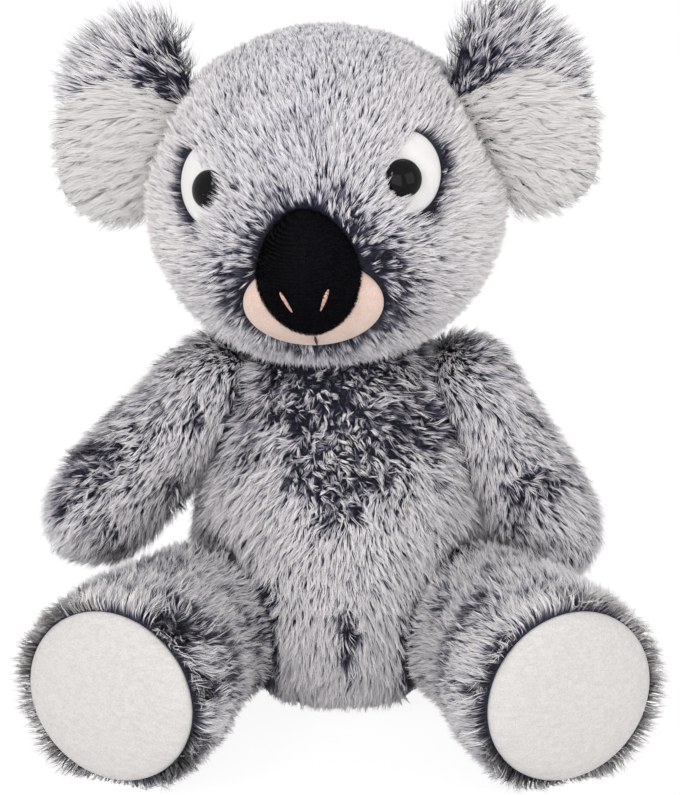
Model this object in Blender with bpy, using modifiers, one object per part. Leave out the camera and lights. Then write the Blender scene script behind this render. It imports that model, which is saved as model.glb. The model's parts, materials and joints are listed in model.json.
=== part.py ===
"""A seated plush koala, about 24 cm tall, with its fur left off.

The koala faces -Y, +Z is up, and left and right are the koala's own: its left is at +X.
The origin is the middle of the flat seat, on the surface that the toy sits on.
"""

import math

import bmesh
import bpy
from mathutils import Matrix, Vector

MM = 0.001

# Fits that every sewn or stuffed piece shares
plush_thickness = 2.0 * MM
gap = 0.3 * MM
overrun = 4.0 * MM
swing_clearance = 0.5 * MM
seat_cut_depth = 0.5 * MM
weld_distance = 0.03 * MM
square_sides = 4

# Torso, a pear that is widest at the belly
torso_height = 125.0 * MM
torso_width = 95.0 * MM
torso_depth = 90.0 * MM
torso_points = 16
torso_core_points = 8
# Height, half width, half depth and forward shift of each ring
torso_ring_shares = (
    (0.000, 0.00, 0.00, 0.00),
    (0.010, 0.56, 0.56, 0.00),
    (0.075, 0.86, 0.86, 0.00),
    (0.220, 1.00, 1.00, 0.01),
    (0.420, 1.00, 0.99, 0.03),
    (0.620, 0.91, 0.88, 0.03),
    (0.790, 0.78, 0.74, 0.01),
    (0.920, 0.66, 0.62, 0.00),
    (0.985, 0.48, 0.46, 0.00),
    (1.000, 0.00, 0.00, 0.00),
)
pouch_width = 44.0 * MM
pouch_depth = 36.0 * MM
pouch_height = 20.0 * MM
pouch_back = 10.0 * MM
pouch_segments = 16

# Head, nearly a ball, which turns and nods in the dished top of the torso
head_width = 114.0 * MM
head_depth = 109.0 * MM
head_height = 109.0 * MM
head_centre_side = -4.5 * MM
neck_dish_depth = 8.0 * MM
head_centre_height = torso_height - neck_dish_depth + head_height / 2.0
head_yaw = math.radians(-6.4)
head_roll = math.radians(-4.6)
head_segments = 28
head_core_segments = 18
neck_dish_play = 0.5 * MM
neck_plug_radius = 14.0 * MM
neck_plug_height = 13.0 * MM
neck_plug_points = 24
head_hole_radius = 9.0 * MM
head_hole_points = 16
# The muzzle swells forward round this direction, seen from the middle of the head
muzzle_swell = 6.0 * MM
muzzle_drop = math.radians(14.0)
muzzle_spread = math.radians(30.0)

# Ears, flat, sewn on a small flat place at each side of the head
ear_seat_depth = 5.5 * MM
ear_seat_distance = head_width / 2.0 - ear_seat_depth
left_ear_seat_rise = math.radians(24.5)
right_ear_seat_rise = math.radians(28.0)
ear_root_radius = 4.2 * MM
ear_length = 34.5 * MM
ear_half_width = 32.5 * MM
ear_root_drop = 9.5 * MM
ear_half_thickness = 5.4 * MM
ear_points = 14
ear_root_angles = (math.radians(-70.0), math.radians(-35.0))
# Distance out from the root, half width, half thickness and upward shift of each ring
ear_ring_shares = (
    (0.00, 0.72, 0.80, 0.00),
    (0.25, 0.95, 0.95, 0.10),
    (0.50, 1.00, 1.00, 0.16),
    (0.75, 0.83, 0.95, 0.20),
    (0.93, 0.48, 0.62, 0.22),
)
ear_lining_half_width = 24.0 * MM
ear_lining_length = 30.0 * MM
ear_lining_drop = 6.5 * MM
ear_lining_start = 2.5 * MM
ear_lining_points = 20

# Eyes: a white felt oval, and a black pupil whose shank a washer holds inside the head
eye_side = math.radians(33.0)
eye_rise = math.radians(13.0)
surface_step = math.radians(0.5)
eye_white_width = 24.0 * MM
eye_white_height = 28.0 * MM
eye_white_thickness = 1.6 * MM
eye_white_out = 3.6 * MM
eye_white_up = 2.6 * MM
eye_white_tilt = math.radians(14.0)
eye_white_points = 20
pupil_radius = 6.2 * MM
pupil_dome = 3.4 * MM
pupil_rim = 0.8 * MM
pupil_steps = 16
pupil_dome_steps = 4
shank_radius = 1.6 * MM
shank_hole_points = 12
shank_length = 10.0 * MM
washer_radius = 5.5 * MM
washer_thickness = 1.4 * MM
washer_points = 16
washer_play = 2.0 * MM

# Nose, a stuffed cover, broad below and narrow above
nose_width = 33.5 * MM
nose_height = 41.0 * MM
nose_depth = 30.0 * MM
nose_cover_thickness = 1.2 * MM
nose_drop = math.radians(12.5)
nose_sink = 1.0 * MM
nose_taper_share = 0.22
nose_segments = 18

# Lip, a padded crescent round the lower half of the nose
lip_width = 47.0 * MM
lip_height = 29.0 * MM
lip_depth = 15.0 * MM
lip_drop = math.radians(24.5)
lip_sink = 1.5 * MM
lip_segments = 18

# Stitches on the nose and the lip
nostril_length = 8.0 * MM
nostril_width = 1.7 * MM
nostril_side = 6.0 * MM
nostril_drop = 3.6 * MM
nostril_lean = math.radians(24.0)
mouth_stitch_length = 5.0 * MM
mouth_stitch_width = 3.2 * MM
mouth_stitch_drop = 11.2 * MM
stitch_height = 0.7 * MM
stitch_points = 12

# Arms: a ball in the shoulder, a swelling forearm and a round paw
shoulder_radius = 14.5 * MM
shoulder_sink = 5.5 * MM
shoulder_drop = 18.0 * MM
shoulder_forward = 3.0 * MM
arm_length = 75.0 * MM
arm_half_width = 16.0 * MM
arm_points = 10
arm_core_points = 6
# Distance along the arm from the shoulder's centre, half width and half depth
arm_ring_shares = (
    (0.22, 0.88, 0.88),
    (0.45, 0.94, 0.95),
    (0.65, 1.00, 1.00),
    (0.83, 0.94, 0.93),
    (0.95, 0.62, 0.60),
)
left_arm_spread = math.radians(29.5)
right_arm_spread = math.radians(43.0)
left_arm_forward = math.radians(3.0)
right_arm_forward = math.radians(10.0)
arm_swing = (math.radians(-6.0), 0.0, math.radians(12.0))

sleeve_mouth_radius = 7.0 * MM
sleeve_mouth_points = 12
# Shapes that both kinds of limb share
socket_segments = 20
ball_angles = (math.radians(-60.0), math.radians(-28.0))
ball_draw_share = 1.5
room_growth_share = 1.0 / 3.0

# Legs: a ball in the hip, a thickening leg and a flat sole
hip_radius = 24.0 * MM
hip_sink = 12.5 * MM
hip_forward = 17.0 * MM
leg_length = 85.0 * MM
leg_half_width = 32.0 * MM
leg_half_height = 30.3 * MM
leg_floor_sink = 0.7 * MM
leg_points = 10
leg_core_points = 6
# Distance along the leg from the hip's centre, half width and half height
leg_ring_shares = (
    (0.28, 0.91, 0.88),
    (0.55, 0.96, 0.95),
    (0.80, 1.00, 1.00),
    (1.00, 0.95, 0.96),
    (1.12, 0.80, 0.82),
)
leg_spread = math.radians(26.0)
leg_rise = 0.0
leg_swing = (0.0, math.radians(12.0), math.radians(24.0))
sole_thickness = 3.4 * MM
sole_crown = 1.6 * MM
sole_margin = 1.0 * MM
# Distance through the sole and half width of each ring
sole_ring_shares = ((0.00, 0.00), (0.00, 0.90), (0.33, 1.00), (1.00, 0.90))
sole_points = 10

# Colours: linear red, green and blue, with roughness
plush_grey = ((0.52, 0.51, 0.54), 0.95)
plush_white = ((0.80, 0.78, 0.76), 0.95)
sole_white = ((0.82, 0.79, 0.77), 0.9)
felt_white = ((0.86, 0.84, 0.82), 0.7)
pupil_black = ((0.006, 0.005, 0.005), 0.12)
nose_black = ((0.010, 0.010, 0.014), 0.75)
lip_pink = ((0.74, 0.53, 0.43), 0.85)
stitch_dark = ((0.05, 0.03, 0.04), 0.7)
washer_grey = ((0.35, 0.35, 0.36), 0.5)
fibre_white = ((0.78, 0.78, 0.76), 0.95)
pouch_cream = ((0.70, 0.66, 0.58), 0.9)

for old in list(bpy.data.objects):
    bpy.data.objects.remove(old, do_unlink=True)

koala = bpy.data.collections.new("koala")
cutters = bpy.data.collections.new("cutters")
bpy.context.scene.collection.children.link(koala)
bpy.context.scene.collection.children.link(cutters)


def make_material(name, look):
    """A Principled material of one colour and roughness."""
    colour, roughness = look
    made = bpy.data.materials.new(name)
    made.use_nodes = True
    shader = made.node_tree.nodes["Principled BSDF"]
    shader.inputs["Base Color"].default_value = (*colour, 1.0)
    shader.inputs["Roughness"].default_value = roughness
    shader.inputs["Metallic"].default_value = 0.0
    return made


def frame(name, place, parent=None):
    """An empty that pieces hang on, at the matrix place under its parent."""
    empty = bpy.data.objects.new(name, None)
    koala.objects.link(empty)
    empty.parent = parent
    empty.matrix_local = place
    return empty


def piece(name, mesh, look, parent=None):
    """A named sub-part with its own material."""
    made = bpy.data.objects.new(name, mesh.copy())
    made.data.shade_smooth()
    made.data.materials.clear()
    made.data.materials.append(make_material(name, look))
    koala.objects.link(made)
    made.parent = parent
    return made


def cutter(name, mesh, parent=None):
    """A shape that only cuts others."""
    made = bpy.data.objects.new(name, mesh)
    made.hide_render = True
    made.display_type = "WIRE"
    cutters.objects.link(made)
    made.parent = parent
    return made


def subdivide(obj):
    """Rounds a cage once."""
    rounded = obj.modifiers.new("Rounding", "SUBSURF")
    rounded.levels = 1
    rounded.render_levels = 1


def grow(obj, distance):
    """Moves a surface out along its normals, or in where the distance is negative."""
    moved = obj.modifiers.new("Offset", "DISPLACE")
    moved.mid_level = 0.0
    moved.strength = distance


def cut(obj, tool, operation="DIFFERENCE", solver="EXACT"):
    """A Boolean of obj with tool."""
    boolean = obj.modifiers.new(tool.name, "BOOLEAN")
    boolean.operation = operation
    boolean.solver = solver
    boolean.object = tool


def finish_mesh(name, shape):
    """Turns a bmesh into a mesh with its faces pointing out."""
    bmesh.ops.recalc_face_normals(shape, faces=shape.faces)
    mesh = bpy.data.meshes.new(name)
    shape.to_mesh(mesh)
    shape.free()
    return mesh


def cage(name, rings, points):
    """A closed cage: oval rings along Z between a first and a last pole.

    A ring is (z, half width, half depth, shift along X, shift along Y). The rounded surface
    lies inside its cage, so each oval is drawn larger by that share and the surface meets
    the ring.
    """
    drawn = 6.0 / (4.0 + 2.0 * math.cos(2.0 * math.pi / points))
    shape = bmesh.new()
    first, last = rings[0], rings[-1]
    bottom = shape.verts.new((first[3], first[4], first[0]))
    top = shape.verts.new((last[3], last[4], last[0]))
    loops = []
    for z, half_x, half_y, shift_x, shift_y in rings[1:-1]:
        loop = []
        for i in range(points):
            turn = 2.0 * math.pi * i / points
            x = drawn * half_x * math.cos(turn) + shift_x
            y = drawn * half_y * math.sin(turn) + shift_y
            loop.append(shape.verts.new((x, y, z)))
        loops.append(loop)
    for i in range(points):
        j = (i + 1) % points
        shape.faces.new((bottom, loops[0][j], loops[0][i]))
        shape.faces.new((top, loops[-1][i], loops[-1][j]))
        for low, high in zip(loops, loops[1:]):
            shape.faces.new((low[i], low[j], high[j], high[i]))
    return finish_mesh(name, shape)


def ball_mesh(name, half_sizes, segments, shaping=None):
    """A sphere drawn out to three half sizes, with each point then moved by shaping."""
    shape = bmesh.new()
    bmesh.ops.create_uvsphere(shape, u_segments=segments, v_segments=segments // 2, radius=1.0)
    for vert in shape.verts:
        vert.co = Vector(c * half for c, half in zip(vert.co, half_sizes))
        if shaping:
            vert.co = shaping(vert.co)
    bmesh.ops.triangulate(shape, faces=shape.faces)
    return finish_mesh(name, shape)


def prism_mesh(name, half_x, half_y, low, high, points):
    """An upright oval prism from z = low to z = high."""
    shape = bmesh.new()
    bmesh.ops.create_cone(
        shape, cap_ends=True, segments=points, radius1=1.0, radius2=1.0, depth=1.0
    )
    middle = (low + high) / 2.0
    for vert in shape.verts:
        vert.co = Vector(
            (vert.co.x * half_x, vert.co.y * half_y, middle + vert.co.z * (high - low))
        )
    return finish_mesh(name, shape)


def turned(name, profile, look, parent, steps):
    """A piece turned about Z from a profile that runs from the axis at the top to the bottom."""
    mesh = bpy.data.meshes.new(name)
    edges = [(i, i + 1) for i in range(len(profile) - 1)]
    mesh.from_pydata([(r, 0.0, z) for r, z in profile], edges, [])
    made = piece(name, mesh, look, parent)
    spun = made.modifiers.new("Turning", "SCREW")
    spun.steps = steps
    spun.render_steps = steps
    spun.use_merge_vertices = True
    spun.merge_threshold = weld_distance
    return made


def aimed(direction, side):
    """A rotation whose Z is direction and whose X lies as near side as it can."""
    z = direction.normalized()
    x = (side - z * side.dot(z)).normalized()
    y = z.cross(x)
    return Matrix((x, y, z)).transposed().to_4x4()


# Torso: a plush skin over fibre, with a pouch of pellets low down that seats it
def torso_rings():
    """The ring shares at the torso's own sizes."""
    height = torso_height + seat_cut_depth
    return [
        (
            z * height - seat_cut_depth,
            x * torso_width / 2.0,
            y * torso_depth / 2.0,
            0.0,
            -s * torso_depth,
        )
        for z, x, y, s in torso_ring_shares
    ]


torso_mesh = cage("torso_form", torso_rings(), torso_points)
torso_core_mesh = cage("torso_core_form", torso_rings(), torso_core_points)
reach = torso_height + head_height
floor_cut = cutter(
    "floor_cut",
    prism_mesh("floor_cut", reach, reach, -overrun - hip_radius, 0.0, square_sides),
)

torso_skin = piece("torso_skin", torso_mesh, plush_grey)
subdivide(torso_skin)
torso_hollow = cutter("torso_hollow", torso_core_mesh)
subdivide(torso_hollow)
grow(torso_hollow, -plush_thickness)
torso_stuffing = piece("torso_stuffing", torso_core_mesh, fibre_white)
subdivide(torso_stuffing)
grow(torso_stuffing, -plush_thickness - gap)

cut(torso_skin, floor_cut)
cut(torso_skin, torso_hollow)

pouch_half_sizes = (pouch_width / 2.0, pouch_depth / 2.0, pouch_height)
pouch_mesh = ball_mesh("pouch_form", pouch_half_sizes, pouch_segments)
pouch_room = cutter("pouch_room", pouch_mesh)
pouch_room.location = (0.0, pouch_back, 0.0)
grow(pouch_room, gap)
pouch_shape = cutter("pouch_shape", pouch_mesh)
pouch_shape.location = pouch_room.location
cut(torso_stuffing, pouch_room)
pellet_pouch = piece("pellet_pouch", torso_core_mesh, pouch_cream)
subdivide(pellet_pouch)
grow(pellet_pouch, -plush_thickness - gap)
cut(pellet_pouch, pouch_shape, "INTERSECT")

# Neck: the head's round underside lies in a dish, over a plug of fibre in the neck hole
head_place = Vector((head_centre_side, 0.0, head_centre_height))
neck_frame = frame("neck_joint", Matrix.Translation(head_place))
dish_radius = head_height / 2.0 + neck_dish_play
dish_sizes = (dish_radius + gap,) * 3
neck_dish = cutter("neck_dish", ball_mesh("neck_dish", dish_sizes, head_segments), neck_frame)
plug_top = -dish_radius - gap
plug_low = plug_top - neck_plug_height
hole_radius = neck_plug_radius + gap
neck_hole = cutter(
    "neck_hole",
    prism_mesh(
        "neck_hole",
        hole_radius,
        hole_radius,
        plug_low - gap,
        plug_top + overrun,
        neck_plug_points,
    ),
    neck_frame,
)
for part in (torso_skin, torso_stuffing):
    cut(part, neck_dish)
    cut(part, neck_hole)
plug_mesh = prism_mesh(
    "neck_plug",
    neck_plug_radius,
    neck_plug_radius,
    plug_low,
    plug_top + overrun,
    neck_plug_points,
)
neck_stuffing = piece("neck_stuffing", plug_mesh, fibre_white, neck_frame)
cut(neck_stuffing, neck_dish)

# Head: a plush skin over fibre, open only at the neck hole and the shank holes
head_turn = Matrix.Rotation(head_yaw, 4, "Z") @ Matrix.Rotation(head_roll, 4, "Y")
head_frame = frame("head_joint", head_turn, neck_frame)
ear_out = {
    side: Vector((side * math.cos(rise), 0.0, math.sin(rise)))
    for side, rise in ((1.0, left_ear_seat_rise), (-1.0, right_ear_seat_rise))
}
muzzle_way = Vector((0.0, -math.cos(muzzle_drop), -math.sin(muzzle_drop)))


head_half_sizes = (head_width / 2.0, head_depth / 2.0, head_height / 2.0)


def shape_head(point, inset=0.0):
    """Swells the muzzle, and flattens the place of each ear, less the inset."""
    away = point.angle(muzzle_way) / muzzle_spread
    point = point + point.normalized() * muzzle_swell * math.exp(-away * away)
    for out in ear_out.values():
        over = point.dot(out) - (ear_seat_distance - inset)
        if over > 0.0:
            point = point - out * over
    return point


def head_form(name, segments, inset=0.0):
    """The head's form, drawn in all over by the inset."""
    half_sizes = tuple(half - inset for half in head_half_sizes)
    return ball_mesh(name, half_sizes, segments, lambda point: shape_head(point, inset))


head_mesh = head_form("head_form", head_segments)
head_hollow_mesh = head_form("head_hollow_form", head_core_segments, plush_thickness)
# Drawn in towards the middle, so that the nearest walls keep the shared gap
head_core_mesh = head_hollow_mesh.copy()
head_core_mesh.transform(Matrix.Scale(1.0 - gap / (ear_seat_distance - plush_thickness), 4))
head_skin = piece("head_skin", head_mesh, plush_grey, head_frame)
head_hollow = cutter("head_hollow", head_hollow_mesh, head_frame)
head_hole = cutter(
    "head_hole",
    prism_mesh(
        "head_hole",
        head_hole_radius,
        head_hole_radius,
        -head_height / 2.0 - overrun,
        -head_height / 2.0 + plush_thickness + overrun,
        head_hole_points,
    ),
    head_frame,
)
cut(head_skin, head_hollow)
cut(head_skin, head_hole)
head_stuffing = piece("head_stuffing", head_core_mesh, fibre_white, head_frame)
head_clear = cutter("head_clear", head_mesh, head_frame)
grow(head_clear, gap)


def on_head(side, rise):
    """The point of the head's outer surface at an angle to the side and an angle up."""
    way = Vector(
        (math.sin(side) * math.cos(rise), -math.cos(side) * math.cos(rise), math.sin(rise))
    )
    shares = Vector(w / half for w, half in zip(way, head_half_sizes))
    return shape_head(way / shares.length), way


def square_to_head(side, rise):
    """The way that the head's outer surface faces at those angles."""
    place = on_head(side, rise)[0]
    across = on_head(side + surface_step, rise)[0] - place
    up = on_head(side, rise + surface_step)[0] - place
    return across.cross(up).normalized()


def patch(name, form_mesh, form_frame, look, tool, height):
    """A thin piece that follows a form's surface at the shared gap, inside a prism's outline."""
    made = piece(name, form_mesh, look, form_frame)
    grow(made, gap + height)
    under = cutter(name + "_under", form_mesh, form_frame)
    grow(under, gap)
    cut(made, under)
    cut(made, tool, "INTERSECT")
    return made


# Eyes
for side, name in ((1.0, "left"), (-1.0, "right")):
    place = on_head(side * eye_side, eye_rise)[0]
    way = square_to_head(side * eye_side, eye_rise)
    turn = aimed(way, Vector((side, 0.0, 0.0)))
    eye_frame = frame(f"eye_{name}_place", Matrix.Translation(place) @ turn, head_frame)
    oval_place = Matrix.Translation((eye_white_out, side * eye_white_up, 0.0))
    oval_turn = Matrix.Rotation(-side * eye_white_tilt, 4, "Z")
    oval = cutter(
        f"eye_{name}_oval",
        prism_mesh(
            "eye_oval",
            eye_white_width / 2.0,
            eye_white_height / 2.0,
            -overrun - eye_white_thickness,
            overrun + eye_white_thickness,
            eye_white_points,
        ),
        eye_frame,
    )
    oval.matrix_local = oval_place @ oval_turn
    white = patch(
        f"eye_{name}_white", head_mesh, head_frame, felt_white, oval, eye_white_thickness
    )
    base = gap + eye_white_thickness + gap
    dome = [
        (pupil_radius * math.sin(a), base + pupil_rim + pupil_dome * math.cos(a))
        for a in (math.pi / 2.0 * step / pupil_dome_steps for step in range(pupil_dome_steps + 1))
    ]
    profile = [
        *dome,
        (pupil_radius, base),
        (shank_radius, base),
        (shank_radius, base - shank_length),
        (0.0, base - shank_length),
    ]
    turned(f"eye_{name}_pupil", profile, pupil_black, eye_frame, pupil_steps)
    shank_hole_radius = shank_radius + gap
    shank_hole = cutter(
        f"eye_{name}_shank_hole",
        prism_mesh(
            "shank_hole",
            shank_hole_radius,
            shank_hole_radius,
            -shank_length,
            base,
            shank_hole_points,
        ),
        eye_frame,
    )
    cut(white, shank_hole)
    cut(head_skin, shank_hole)
    washer_top = -plush_thickness - washer_play
    washer_low = washer_top - washer_thickness
    washer = piece(
        f"eye_{name}_washer",
        prism_mesh(
            "washer", washer_radius, washer_radius, washer_low, washer_top, washer_points
        ),
        washer_grey,
        eye_frame,
    )
    cut(washer, shank_hole)
    washer_room = cutter(
        f"eye_{name}_washer_room",
        prism_mesh(
            "washer_room",
            washer_radius + gap,
            washer_radius + gap,
            min(washer_low, base - shank_length) - gap,
            overrun,
            washer_points,
        ),
        eye_frame,
    )
    cut(head_stuffing, washer_room)


# Nose and lip, both sewn on the muzzle
def face_frame(name, drop, sink):
    """A place on the middle line of the face: its Z points out and its Y up the face."""
    place, way = on_head(0.0, -drop)
    turn = aimed(way, Vector((1.0, 0.0, 0.0)))
    return frame(name, Matrix.Translation(place - way * sink) @ turn, head_frame)


def shape_nose(point):
    """Narrows the nose towards its top."""
    share = 1.0 - nose_taper_share * point.y / (nose_height / 2.0)
    return Vector((point.x * share, point.y, point.z))


nose_frame = face_frame("nose_place", nose_drop, nose_sink)
nose_half_sizes = (nose_width / 2.0, nose_height / 2.0, nose_depth / 2.0)
nose_mesh = ball_mesh("nose_form", nose_half_sizes, nose_segments, shape_nose)
nose_cover = piece("nose_cover", nose_mesh, nose_black, nose_frame)
nose_hollow = cutter("nose_hollow", nose_mesh, nose_frame)
grow(nose_hollow, -nose_cover_thickness)
cut(nose_cover, nose_hollow)
cut(nose_cover, head_clear)
nose_stuffing = piece("nose_stuffing", nose_mesh, fibre_white, nose_frame)
grow(nose_stuffing, -nose_cover_thickness - gap)
cut(nose_stuffing, head_clear)

lip_frame = face_frame("lip_place", lip_drop, lip_sink)
lip_half_sizes = (lip_width / 2.0, lip_height / 2.0, lip_depth / 2.0)
lip_mesh = ball_mesh("lip_form", lip_half_sizes, lip_segments)
nose_clear = cutter("nose_clear", nose_mesh, nose_frame)
grow(nose_clear, gap)
lip = piece("lip", lip_mesh, lip_pink, lip_frame)
cut(lip, head_clear)
cut(lip, nose_clear)

for side, name in ((1.0, "left"), (-1.0, "right")):
    slit = cutter(
        f"nostril_{name}_slit",
        prism_mesh(
            "nostril_slit", nostril_width / 2.0, nostril_length / 2.0, 0.0, nose_depth, stitch_points
        ),
        nose_frame,
    )
    slit.matrix_local = Matrix.Translation(
        (side * nostril_side, -nostril_drop, 0.0)
    ) @ Matrix.Rotation(-side * nostril_lean, 4, "Z")
    patch(f"nostril_{name}_stitch", nose_mesh, nose_frame, lip_pink, slit, stitch_height)

mouth_slit = cutter(
    "mouth_slit",
    prism_mesh(
        "mouth_slit", mouth_stitch_width / 2.0, mouth_stitch_length / 2.0, 0.0, lip_depth, stitch_points
    ),
    lip_frame,
)
mouth_slit.location = (0.0, -mouth_stitch_drop, 0.0)
mouth_stitch = patch("mouth_stitch", lip_mesh, lip_frame, stitch_dark, mouth_slit, stitch_height)
cut(mouth_stitch, head_clear)


# Ears: a grey back that rolls over the top edge, and a white lining sewn into it
def ear_rings():
    """A half-round root about the hinge, then the ring shares at the ear's own sizes."""
    root_width = ear_ring_shares[0][1] * ear_half_width
    rings = [(-ear_root_radius, 0.0, 0.0, 0.0, 0.0)]
    for angle in ear_root_angles:
        z = ear_root_radius * math.sin(angle)
        half = ear_root_radius * math.cos(angle)
        rings.append((z, root_width - ear_root_radius + half, half, 0.0, 0.0))
    for out, width, thickness, up in ear_ring_shares:
        rings.append(
            (
                out * ear_length,
                width * ear_half_width,
                thickness * ear_half_thickness,
                up * ear_half_width,
                0.0,
            )
        )
    rings.append((ear_length, 0.0, 0.0, ear_ring_shares[-1][3] * ear_half_width, 0.0))
    return rings


ear_mesh = cage("ear_form", ear_rings(), ear_points)
ear_axis_distance = ear_seat_distance + gap + ear_root_radius
for side, name in ((1.0, "left"), (-1.0, "right")):
    out = ear_out[side]
    turn = aimed(out, Vector((0.0, 0.0, 1.0)))
    root_place = out * ear_axis_distance - turn.to_3x3().col[0] * ear_root_drop
    ear_frame = frame(f"ear_{name}_joint", Matrix.Translation(root_place) @ turn, head_frame)
    forward = -side
    lining_place = Matrix.Translation((-ear_lining_drop, 0.0, ear_lining_start + ear_lining_length / 2.0))
    lining_turn = Matrix.Rotation(forward * math.pi / 2.0, 4, "X")
    tools = {}
    for use, clear in (("lining", 0.0), ("room", gap)):
        tools[use] = cutter(
            f"ear_{name}_{use}_shape",
            prism_mesh(
                "ear_lining_shape",
                ear_lining_half_width + clear,
                ear_lining_length / 2.0 + clear,
                -clear,
                ear_half_thickness + overrun,
                ear_lining_points,
            ),
            ear_frame,
        )
        tools[use].matrix_local = lining_place @ lining_turn
    back = piece(f"ear_{name}_back", ear_mesh, plush_grey, ear_frame)
    subdivide(back)
    cut(back, tools["room"])
    lining = piece(f"ear_{name}_lining", ear_mesh, plush_white, ear_frame)
    subdivide(lining)
    cut(lining, tools["lining"], "INTERSECT")


# Limbs: each starts as a ball in a hole of the torso's skin
def limb_rings(radius, length, half_width, half_depth, shares, end, clear=0.0):
    """Rings of the ball behind its centre, then the ring shares, then the end pole.

    A clearance widens all but the back of the ball, which it draws in.
    """
    back = radius - ball_draw_share * clear
    rings = [(-back, 0.0, 0.0, 0.0, 0.0)]
    for angle in ball_angles:
        half = back * math.cos(angle)
        rings.append((back * math.sin(angle), half, half, 0.0, 0.0))
    rings.append((0.0, radius + clear, radius + clear, 0.0, 0.0))
    for out, width, depth in shares:
        rings.append(
            (out * length, width * half_width + clear, depth * half_depth + clear, 0.0, 0.0)
        )
    rings.append((end + clear, 0.0, 0.0, 0.0, 0.0))
    return rings


def limb(name, place, turn, sizes, points, core_points, swing):
    """The skin and the stuffing of a limb, and the room for it in the torso.

    The room is the ball's socket and the limb's own form at each angle of its swing, a
    little wider each time, so that no two of those forms share a surface. The socket is
    drawn larger, so that the middles of its flat faces keep the gap too.
    """
    socket_radius = (sizes[0] + gap) / math.cos(math.pi / socket_segments)
    rings = limb_rings(*sizes)
    root = frame(f"{name}_joint", Matrix.Translation(place) @ turn)
    core_mesh = cage(f"{name}_core_form", rings, core_points)
    form_mesh = cage(f"{name}_form", rings, points)
    skin = piece(f"{name}_skin", form_mesh, plush_grey, root)
    subdivide(skin)
    hollow = cutter(f"{name}_hollow", core_mesh, root)
    subdivide(hollow)
    grow(hollow, -plush_thickness)
    cut(skin, hollow)
    stuffing = piece(f"{name}_stuffing", core_mesh, fibre_white, root)
    subdivide(stuffing)
    grow(stuffing, -plush_thickness - gap)
    socket = cutter(
        f"{name}_socket", ball_mesh(f"{name}_socket", (socket_radius,) * 3, socket_segments), root
    )
    rooms = [socket]
    for step, angle in enumerate(swing):
        clear = swing_clearance * (1.0 + step * room_growth_share)
        room_mesh = cage(f"{name}_room_form", limb_rings(*sizes, clear), points)
        room = cutter(f"{name}_room_{step}", room_mesh, root)
        room.matrix_local = Matrix.Rotation(angle, 4, "X")
        subdivide(room)
        rooms.append(room)
    # These forms lie so near each other that the exact solver loses the torso
    for room in rooms:
        for part in (torso_skin, torso_stuffing):
            cut(part, room, solver="MANIFOLD")
    return root, skin, stuffing


arm_sizes = (
    shoulder_radius, arm_length, arm_half_width, arm_half_width, arm_ring_shares, arm_length
)
for side, name, spread, forward in (
    (1.0, "left", left_arm_spread, left_arm_forward),
    (-1.0, "right", right_arm_spread, right_arm_forward),
):
    place = Vector(
        (
            side * (torso_width / 2.0 - shoulder_sink),
            -shoulder_forward,
            torso_height - shoulder_drop,
        )
    )
    way = Vector(
        (side * math.sin(spread), -math.cos(spread) * math.tan(forward), -math.cos(spread))
    )
    root, skin, stuffing = limb(
        f"arm_{name}",
        place,
        aimed(way, Vector((0.0, 1.0, 0.0))),
        arm_sizes,
        arm_points,
        arm_core_points,
        [-side * angle for angle in arm_swing],
    )
    mouth = cutter(
        f"arm_{name}_mouth",
        prism_mesh(
            f"arm_{name}_mouth",
            sleeve_mouth_radius,
            sleeve_mouth_radius,
            -shoulder_radius - overrun,
            0.0,
            sleeve_mouth_points,
        ),
        root,
    )
    cut(skin, mouth)

leg_end = leg_length * leg_ring_shares[-1][0] + overrun
leg_sizes = (
    hip_radius, leg_length, leg_half_width, leg_half_height, leg_ring_shares, leg_end
)
sole_half_width = leg_ring_shares[3][1] * leg_half_width - sole_margin
sole_half_height = leg_ring_shares[3][2] * leg_half_height - sole_margin
sole_profile = [(out * sole_thickness, width) for out, width in sole_ring_shares]
sole_profile.append((sole_thickness + sole_crown, 0.0))
toe_cut_reach = leg_half_width + leg_half_height + overrun
for side, name in ((1.0, "left"), (-1.0, "right")):
    place = Vector(
        (side * (torso_width / 2.0 - hip_sink), -hip_forward, leg_half_height - leg_floor_sink)
    )
    way = Vector(
        (
            side * math.sin(leg_spread) * math.cos(leg_rise),
            -math.cos(leg_spread) * math.cos(leg_rise),
            math.sin(leg_rise),
        )
    )
    root, skin, stuffing = limb(
        f"leg_{name}",
        place,
        aimed(way, Vector((1.0, 0.0, 0.0))),
        leg_sizes,
        leg_points,
        leg_core_points,
        [-angle for angle in leg_swing],
    )
    toe_cut = cutter(
        f"leg_{name}_toe_cut",
        prism_mesh(
            f"leg_{name}_toe_cut",
            toe_cut_reach,
            toe_cut_reach,
            leg_length,
            leg_end + overrun,
            square_sides,
        ),
        root,
    )
    for part in (skin, stuffing):
        cut(part, toe_cut)
        cut(part, floor_cut)
    sole = piece(
        f"leg_{name}_sole",
        cage(
            f"leg_{name}_sole_form",
            [
                (leg_length + gap + out, width * sole_half_width, width * sole_half_height, 0.0, 0.0)
                for out, width in sole_profile
            ],
            sole_points,
        ),
        sole_white,
        root,
    )
    subdivide(sole)
    cut(sole, floor_cut)
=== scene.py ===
"""A seated plush koala, about 24 cm tall: its looks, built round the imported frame.

The koala faces -Y, +Z is up, and left is its own left, at +X. Sizes are in metres.
"""
import itertools
import json
import math

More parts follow.
